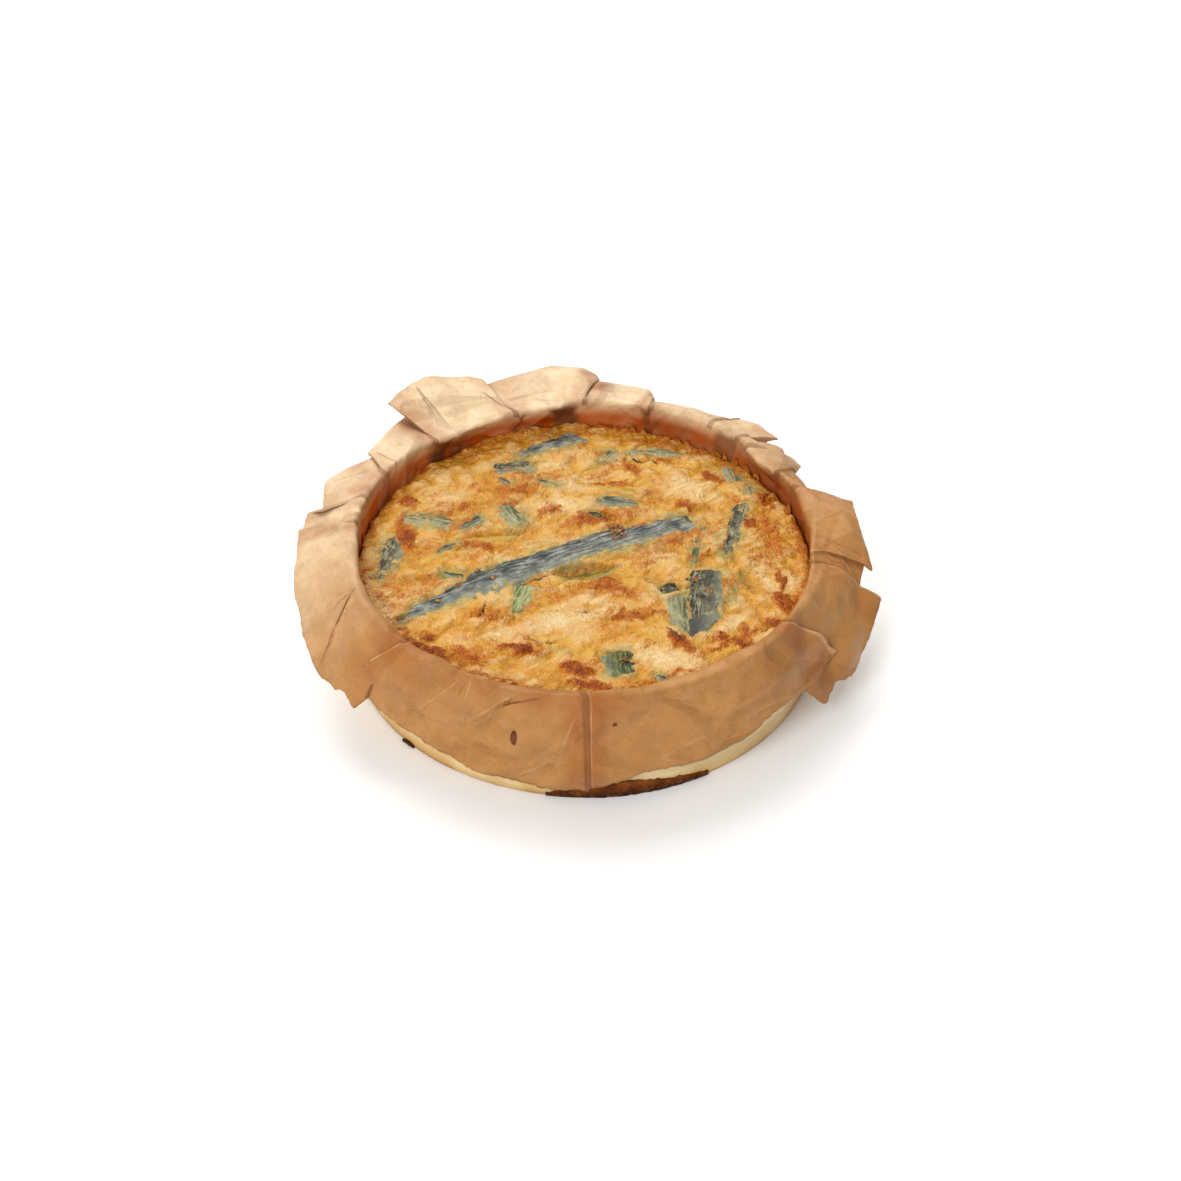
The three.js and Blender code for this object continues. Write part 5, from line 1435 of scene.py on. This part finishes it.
def build_mould(sides):
    """The mould: a profile carried round the upright axis, with its rim and foot broken and its
    outside very slightly uneven."""
    inner = MOULD_RADIUS - MOULD_WALL
    profile = [
        (MOULD_RADIUS - 6.0, 0.0), (MOULD_RADIUS - MOULD_EDGE, 0.0),
        (MOULD_RADIUS - 0.2, 0.2), (MOULD_RADIUS, MOULD_EDGE),
        *[(MOULD_RADIUS, z) for z in np.linspace(3, MOULD_HEIGHT - 3, 12)],
        (MOULD_RADIUS, MOULD_HEIGHT - MOULD_EDGE), (MOULD_RADIUS - 0.2, MOULD_HEIGHT - 0.2),
        (MOULD_RADIUS - MOULD_EDGE, MOULD_HEIGHT), (inner, MOULD_HEIGHT),
        (inner, MOULD_HEIGHT - 0.5), (inner, MOULD_FLOOR + 0.5), (inner - 0.5, MOULD_FLOOR),
    ]
    radius, z = (np.array(part)[:, None] for part in zip(*profile))
    azimuth = np.linspace(0, 360, sides, endpoint=False)[None, :]
    outer = (radius > inner + 1) & (z > 1)
    a = np.radians(azimuth)
    bend = 0.06 * noise(3 * np.cos(a), 3 * np.sin(a), 98, z / 20) * outer
    points = polar(azimuth, radius + bend, z).reshape(-1, 3)
    rows = len(profile)
    total = rows * sides
    points = np.concatenate([points, [[0, 0, 0.0], [0, 0, MOULD_FLOOR]]])
    j = np.arange(sides)
    after = (j + 1) % sides
    under = np.stack([np.full(sides, total), after, j], axis=-1)
    floor = np.stack([np.full(sides, total + 1), (rows - 1) * sides + j,
                      (rows - 1) * sides + after], axis=-1)
    return points, grid_quads(rows, sides, closed=True), np.concatenate([under, floor])


def build_spill(lump):
    """Crust on the foot of the mould: a sheet that follows the mould's outside and stands off it
    by grains of noise, with a ragged upper edge, closed behind against the wood."""
    azimuth = np.linspace(lump["from"], lump["to"], lump["steps"])[:, None]
    v = np.linspace(0, 1, lump["rows"])[None, :]
    t = (azimuth - lump["from"]) / (lump["to"] - lump["from"])
    rise = np.sqrt(np.sin(math.pi * np.clip(t, 0.03, 0.97)))
    height = lump["top"] * rise * (0.86 + 0.14 * noise(azimuth / 5, 0.0, 11))
    height = height + 0.5 * noise(azimuth / 0.9, 0.0, lump["seed"])
    z = lump["bottom"] + np.maximum(0.8, height - lump["bottom"]) * v
    opened = smooth((azimuth - lump["full"]) / 5)
    bulge = np.sin(math.pi * mix(0.2, 0.95, v))
    grains = 0.5 + 0.5 * noise(azimuth / 1.1, z / 1.6, lump["seed"] + 1)
    grains = grains + 0.35 * noise(azimuth / 0.45, z / 0.7, lump["seed"] + 2)
    depth = lump["thin"] + lump["thick"] * opened * bulge * np.clip(grains, 0, 1.1)
    face = polar(azimuth, MOULD_RADIUS + GAP + depth, z)
    back = polar(azimuth, MOULD_RADIUS + 0.02, z)
    return between_sheets(face, back)


def build_crumbs(settings):
    """Toasted crumbs: small balls of 8 rings of 12 points, dented by noise and half sunk in the
    top, scattered round each middle by a seeded draw."""
    draws = np.random.default_rng(settings.seed)
    around, up = 12, 8
    a = np.linspace(0, 2 * math.pi, around, endpoint=False)[None, :]
    b = np.clip(np.linspace(-math.pi / 2, math.pi / 2, up)[:, None], -1.45, 1.45)
    ball = np.cos(b) * np.cos(a), np.cos(b) * np.sin(a), np.sin(b)
    ball = np.stack(np.broadcast_arrays(*ball), axis=-1)
    parts = []
    for x, y, spread, count, size in CRUMBS:
        for _ in range(count):
            place = np.array([x, y]) + draws.normal(0, spread / 2, 2)
            radius = size * draws.uniform(0.55, 1.0) * np.array([1, draws.uniform(0.7, 1), 0.6])
            u, v, w = (ball[:, :, axis] * 2 for axis in range(3))
            dents = 1 + 0.28 * noise(u + place[0], v, 99, w)
            z = filling_top(*(np.array([v]) for v in place))[0] + 0.55 * radius[2]
            points = ball * dents[:, :, None] * radius + [place[0], place[1], z + 0.3]
            caps = points[[0, -1]].mean(axis=1)
            parts.append(np.concatenate([points.reshape(-1, 3), caps]))
    low, high, last_ring = around * up, around * up + 1, around * (up - 1)
    j = np.arange(around)
    after = (j + 1) % around
    fans = np.concatenate([
        np.stack([np.full(around, low), after, j], axis=-1),
        np.stack([np.full(around, high), last_ring + j, last_ring + after], axis=-1),
    ])
    first = (around * up + 2) * np.arange(len(parts))[:, None, None]
    quads = grid_quads(up, around, closed=True) + first
    return np.concatenate(parts), quads.reshape(-1, 4), (fans + first).reshape(-1, 3)


def build_flakes():
    """Flakes of custard on the paper: thin pointed strips that stand up along the wall, wider
    at their foot and curled a little inwards at the tip."""
    rows, columns = 7, 5
    parts, quads, tips, first = [], [], [], 0
    v = np.linspace(0, 1, rows)[:, None]
    s = np.linspace(-1, 1, columns)[None, :]
    for k, (azimuth, height, half) in enumerate(FLAKES):
        lean = 0.5 * math.sin(2.4 * k)
        width = 1.5 * half * (1 - v) ** (0.7 + 0.3 * math.sin(k)) + 0.08
        arc = azimuth + np.degrees((s * width + lean * v * height * 0.4) / FILLING_RADIUS)
        z = filling_top(*polar(azimuth, 84.0, 0.0)[:2].reshape(2, 1))[0]
        radius = FILLING_RADIUS - 0.9 + 0.5 * v - 0.7 * v**3 + 0.2 * np.cos(3 * s)
        rise = z - 1.4 + (0.62 * height + 1.9) * v
        face = polar(arc, radius, rise)
        back = polar(arc, radius + 0.22, rise)
        points, faces = between_sheets(back, face)
        parts.append(points)
        quads.append(faces + first)
        tips.append(np.tile(np.repeat(v**2, columns), 2))
        first += len(points)
    return np.concatenate(parts), np.concatenate(quads), {"tip": np.concatenate(tips)}


# Settings

def colour_setting(name, description, code):
    """A colour in the sidebar, its default a written one."""
    return bpy.props.FloatVectorProperty(
        name=name, description=description, subtype="COLOR", size=3, default=rgb(code), min=0, max=1
    )


def length_setting(name, description, default, low, high):
    """A length in the sidebar, in metres."""
    return bpy.props.FloatProperty(
        name=name, description=description, default=default, min=low, max=high, unit="LENGTH",
        precision=5,
    )


class QuicheMouldSettings(bpy.types.PropertyGroup):
    sides: bpy.props.IntProperty(
        name="Sides", description="Faces round the mould", default=288, min=48, max=720
    )
    wood: colour_setting("Wood", "Colour of the wood", "f0deb6")
    wood_streak: colour_setting("Wood streak", "Colour of its streaks", "e2c68e")


class QuichePaperSettings(bpy.types.PropertyGroup):
    paper_thickness: length_setting(
        "Paper thickness", "Thickness of the baking paper", 0.0002, 0.0001, 0.0005
    )
    spacing: length_setting(
        "Spacing", "Distance between columns of the sheet", 0.00105, 0.0005, 0.005
    )
    crumple: length_setting("Crumple", "Depth of the creases and waves", 0.0010, 0, 0.002)
    facets: bpy.props.FloatProperty(
        name="Facets", description="How far the flat facets in the finish lean", default=1.0,
        min=0, max=3,
    )
    seed: bpy.props.IntProperty(name="Seed", description="Draw of the creases", default=4)
    paper_deep: colour_setting("Deep paper", "Broad darker clouds", "a06a34")
    # Painted light: the paper at the back and left is painted lighter, where the key light falls
    painted_light: colour_setting("Dry paper", "Paper at the back and left, that stayed dry", "e6caa4")
    paper: colour_setting("Paper", "Colour of the dry paper", "a67139")
    paper_light: colour_setting("Light paper", "Its lighter clouds", "b27c43")
    soaked: colour_setting("Soaked", "Doubled or soaked paper", "984a0a")
    # Oil-soaked inner wall, with painted shade deepening down it
    oil_and_shade: colour_setting("Oily", "Inner wall near the filling", "c65a00")


class QuicheFillingSettings(bpy.types.PropertyGroup):
    grid: bpy.props.IntProperty(
        name="Grid", description="Points along each side of the top's grid", default=301,
        min=41, max=301,
    )
    relief: length_setting("Relief", "Depth of the fine curds", 0.0017, 0, 0.004)
    seed: bpy.props.IntProperty(name="Seed", description="Draw of the crumbs", default=11)
    custard: colour_setting("Custard", "Plain custard", "d29c32")
    gold: colour_setting("Gold", "Golden custard", "cc840c")
    # Also painted on the crests of the curds as painted light
    cream: colour_setting("Cream", "Pale, moist custard", "e6cc98")
    green: colour_setting("Green", "Custard over leek", "a69c58")
    green_deep: colour_setting("Deep green", "Custard over darker leek", "827c46")
    # Also painted in the dips between the curds as painted shade
    yellow: colour_setting("Yellow", "Moist hollows", "b47804")
    orange: colour_setting("Orange", "Lightly toasted", "c66e0e")
    brown: colour_setting("Brown", "Toasted", "a84c0e")
    burnt: colour_setting("Burnt", "Nearly burnt", "8c3a16")


class QuicheLeekSettings(bpy.types.PropertyGroup):
    spacing: length_setting("Spacing", "Distance between points on a leaf", 0.0007, 0.0003, 0.003)


class QuicheStageSettings(bpy.types.PropertyGroup):
    floor: bpy.props.FloatVectorProperty(
        name="Floor", description="Colour of the floor", subtype="COLOR", size=3,
        default=(0.97, 0.97, 0.97), min=0, max=1,
    )
    key_power: bpy.props.FloatProperty(
        name="Key light", description="Power of the light behind", default=54.0, min=0,
        unit="POWER",
    )
    fill_power: bpy.props.FloatProperty(
        name="Fill light", description="Power of the light above the front", default=33.0, min=0,
        unit="POWER",
    )
    sky: bpy.props.FloatProperty(
        name="Sky", description="Strength of the even light", default=0.5, min=0,
    )


# Operators

class QUICHE_OT_effects(bpy.types.Operator):
    """Make the shared effects that the finishes use"""

    bl_idname = "quiche.effects"
    bl_label = "Shared Effects"

    def execute(self, context):
        mottle_group()
        grain_group()
        specks_group()
        facets_group()
        return {"FINISHED"}


class QUICHE_OT_mould(bpy.types.Operator):
    """Make the round wood mould"""

    bl_idname = "quiche.mould"
    bl_label = "Wood Mould"

    def execute(self, context):
        settings = context.scene.quiche_mould
        points, quads, triangles = build_mould(settings.sides)
        piece = add_piece("mould", points, quads, triangles, wood_material(settings))
        stand_for(piece, "wood", "wood_mould")
        return {"FINISHED"}


class QUICHE_OT_paper(bpy.types.Operator):
    """Make the pleated baking paper"""

    bl_idname = "quiche.paper"
    bl_label = "Baking Paper"

    def execute(self, context):
        settings = context.scene.quiche_paper
        points, quads, triangles, shares = build_paper(settings)
        piece = add_piece("paper", points, quads, triangles, paper_material(settings), shares)
        stand_for(piece, "paper", "paper_liner")
        return {"FINISHED"}


class QUICHE_OT_filling(bpy.types.Operator):
    """Make the baked filling with its crumbs and flakes"""

    bl_idname = "quiche.filling"
    bl_label = "Filling"

    def execute(self, context):
        settings = context.scene.quiche_filling
        points, quads, fan, shares = build_filling(settings)
        piece = add_piece("custard", points, quads, fan, custard_material(settings), shares)
        stand_for(piece, "custard", "filling")
        points, quads, fans = build_crumbs(settings)
        stand_for(add_piece("crumbs", points, quads, fans, crumb_material()), "custard")
        points, quads, shares = build_flakes()
        stand_for(add_piece("flakes", points, quads, None, flake_material(), shares), "custard")
        return {"FINISHED"}


class QUICHE_OT_leeks(bpy.types.Operator):
    """Make the leek leaves in the top"""

    bl_idname = "quiche.leeks"
    bl_label = "Leek Leaves"

    def execute(self, context):
        spacing = context.scene.quiche_leeks.spacing / MM
        finishes = {tone: leek_material(tone) for tone in LEEK_TONES}
        for leaf in LEAVES:
            points, quads, shares, uv = build_leaf(leaf, spacing)
            name = leaf[0].replace("leek_", "leaf_")
            piece = add_piece(name, points, quads, None, finishes[leaf[5]], shares, uv)
            stand_for(piece, "leek", leaf[0])
        return {"FINISHED"}


class QUICHE_OT_spill(bpy.types.Operator):
    """Make what baked on the foot of the mould"""

    bl_idname = "quiche.spill"
    bl_label = "Baked Spill"

    def execute(self, context):
        finish = crust_material()
        points, quads = build_spill(SPILL)
        stand_for(add_piece("spill", points, quads, None, finish), "crust", "baked_spill")
        points, quads = build_spill(SPOT)
        stand_for(add_piece("spill_spot", points, quads, None, finish), "crust")
        return {"FINISHED"}


class QUICHE_OT_stage(bpy.types.Operator):
    """Make the floor, the lights and the camera"""

    bl_idname = "quiche.stage"
    bl_label = "Stage"

    def execute(self, context):
        settings = context.scene.quiche_stage
        scene = context.scene
        corners = np.array([[-1, -1, 0], [1, -1, 0], [1, 1, 0], [-1, 1, 0]]) * FLOOR_REACH
        mesh = bpy.data.meshes.new("floor")
        mesh.from_pydata((corners * MM).tolist(), [], [(0, 1, 2, 3)])
        mesh.materials.append(floor_material(settings))
        floor = bpy.data.objects.new("floor", mesh)
        scene.collection.objects.link(floor)
        add_light(scene, "key", *KEY_LIGHT, settings.key_power)
        add_light(scene, "fill", *FILL_LIGHT, settings.fill_power)
        world = bpy.data.worlds.new("studio")
        world.use_nodes = True
        sky = world.node_tree.nodes["Background"]
        sky.inputs["Color"].default_value = (1.0, 0.99, 0.97, 1)
        sky.inputs["Strength"].default_value = settings.sky
        scene.world = world
        scene.view_settings.view_transform = "Standard"
        camera = bpy.data.cameras.new("camera")
        camera.lens = VIEW_LENS
        camera.sensor_width = SENSOR_WIDTH
        camera.shift_x, camera.shift_y = VIEW_SHIFT
        camera.clip_start, camera.clip_end = 0.05, 20.0
        eye = bpy.data.objects.new("camera", camera)
        angle = math.radians(VIEW_ELEVATION)
        eye.location = (
            0.0,
            -VIEW_DISTANCE * math.cos(angle) * MM,
            (VIEW_HEIGHT + VIEW_DISTANCE * math.sin(angle)) * MM,
        )
        eye.rotation_euler = (math.pi / 2 - angle, 0.0, 0.0)
        scene.collection.objects.link(eye)
        scene.camera = eye
        return {"FINISHED"}


def add_light(scene, name, place, size, power):
    """A square soft light that looks at the quiche."""
    light = bpy.data.lights.new(name, "AREA")
    light.shape = "SQUARE"
    light.size = size
    light.energy = power
    lamp = bpy.data.objects.new(name, light)
    lamp.location = place
    x, y, z = np.subtract(AIM, place)
    lamp.rotation_euler = (math.atan2(math.hypot(x, y), -z), 0.0, math.atan2(y, x) - math.pi / 2)
    scene.collection.objects.link(lamp)


class QUICHE_PT_panel(bpy.types.Panel):
    """Lists the parts of the quiche"""

    bl_idname = "QUICHE_PT_panel"
    bl_label = "Quiche"
    bl_space_type = "VIEW_3D"
    bl_region_type = "UI"
    bl_category = "Quiche"

    def draw(self, context):
        for operator in OPERATORS:
            self.layout.operator(operator.bl_idname)


SETTINGS = {
    "quiche_mould": QuicheMouldSettings,
    "quiche_paper": QuichePaperSettings,
    "quiche_filling": QuicheFillingSettings,
    "quiche_leeks": QuicheLeekSettings,
    "quiche_stage": QuicheStageSettings,
}
OPERATORS = (
    QUICHE_OT_effects,
    QUICHE_OT_stage,
    QUICHE_OT_mould,
    QUICHE_OT_paper,
    QUICHE_OT_filling,
    QUICHE_OT_leeks,
    QUICHE_OT_spill,
)


def register():
    for name, group in SETTINGS.items():
        bpy.utils.register_class(group)
        setattr(bpy.types.Scene, name, bpy.props.PointerProperty(type=group))
    for kind in (*OPERATORS, QUICHE_PT_panel):
        bpy.utils.register_class(kind)


def unregister():
    for kind in reversed((*OPERATORS, QUICHE_PT_panel)):
        bpy.utils.unregister_class(kind)
    for name, group in reversed(SETTINGS.items()):
        delattr(bpy.types.Scene, name)
        bpy.utils.unregister_class(group)


def main():
    register()
    bpy.ops.quiche.effects()
    bpy.ops.quiche.stage()
    bpy.ops.quiche.mould()
    bpy.ops.quiche.paper()
    bpy.ops.quiche.filling()
    bpy.ops.quiche.leeks()
    bpy.ops.quiche.spill()


if __name__ == "__main__":
    main()
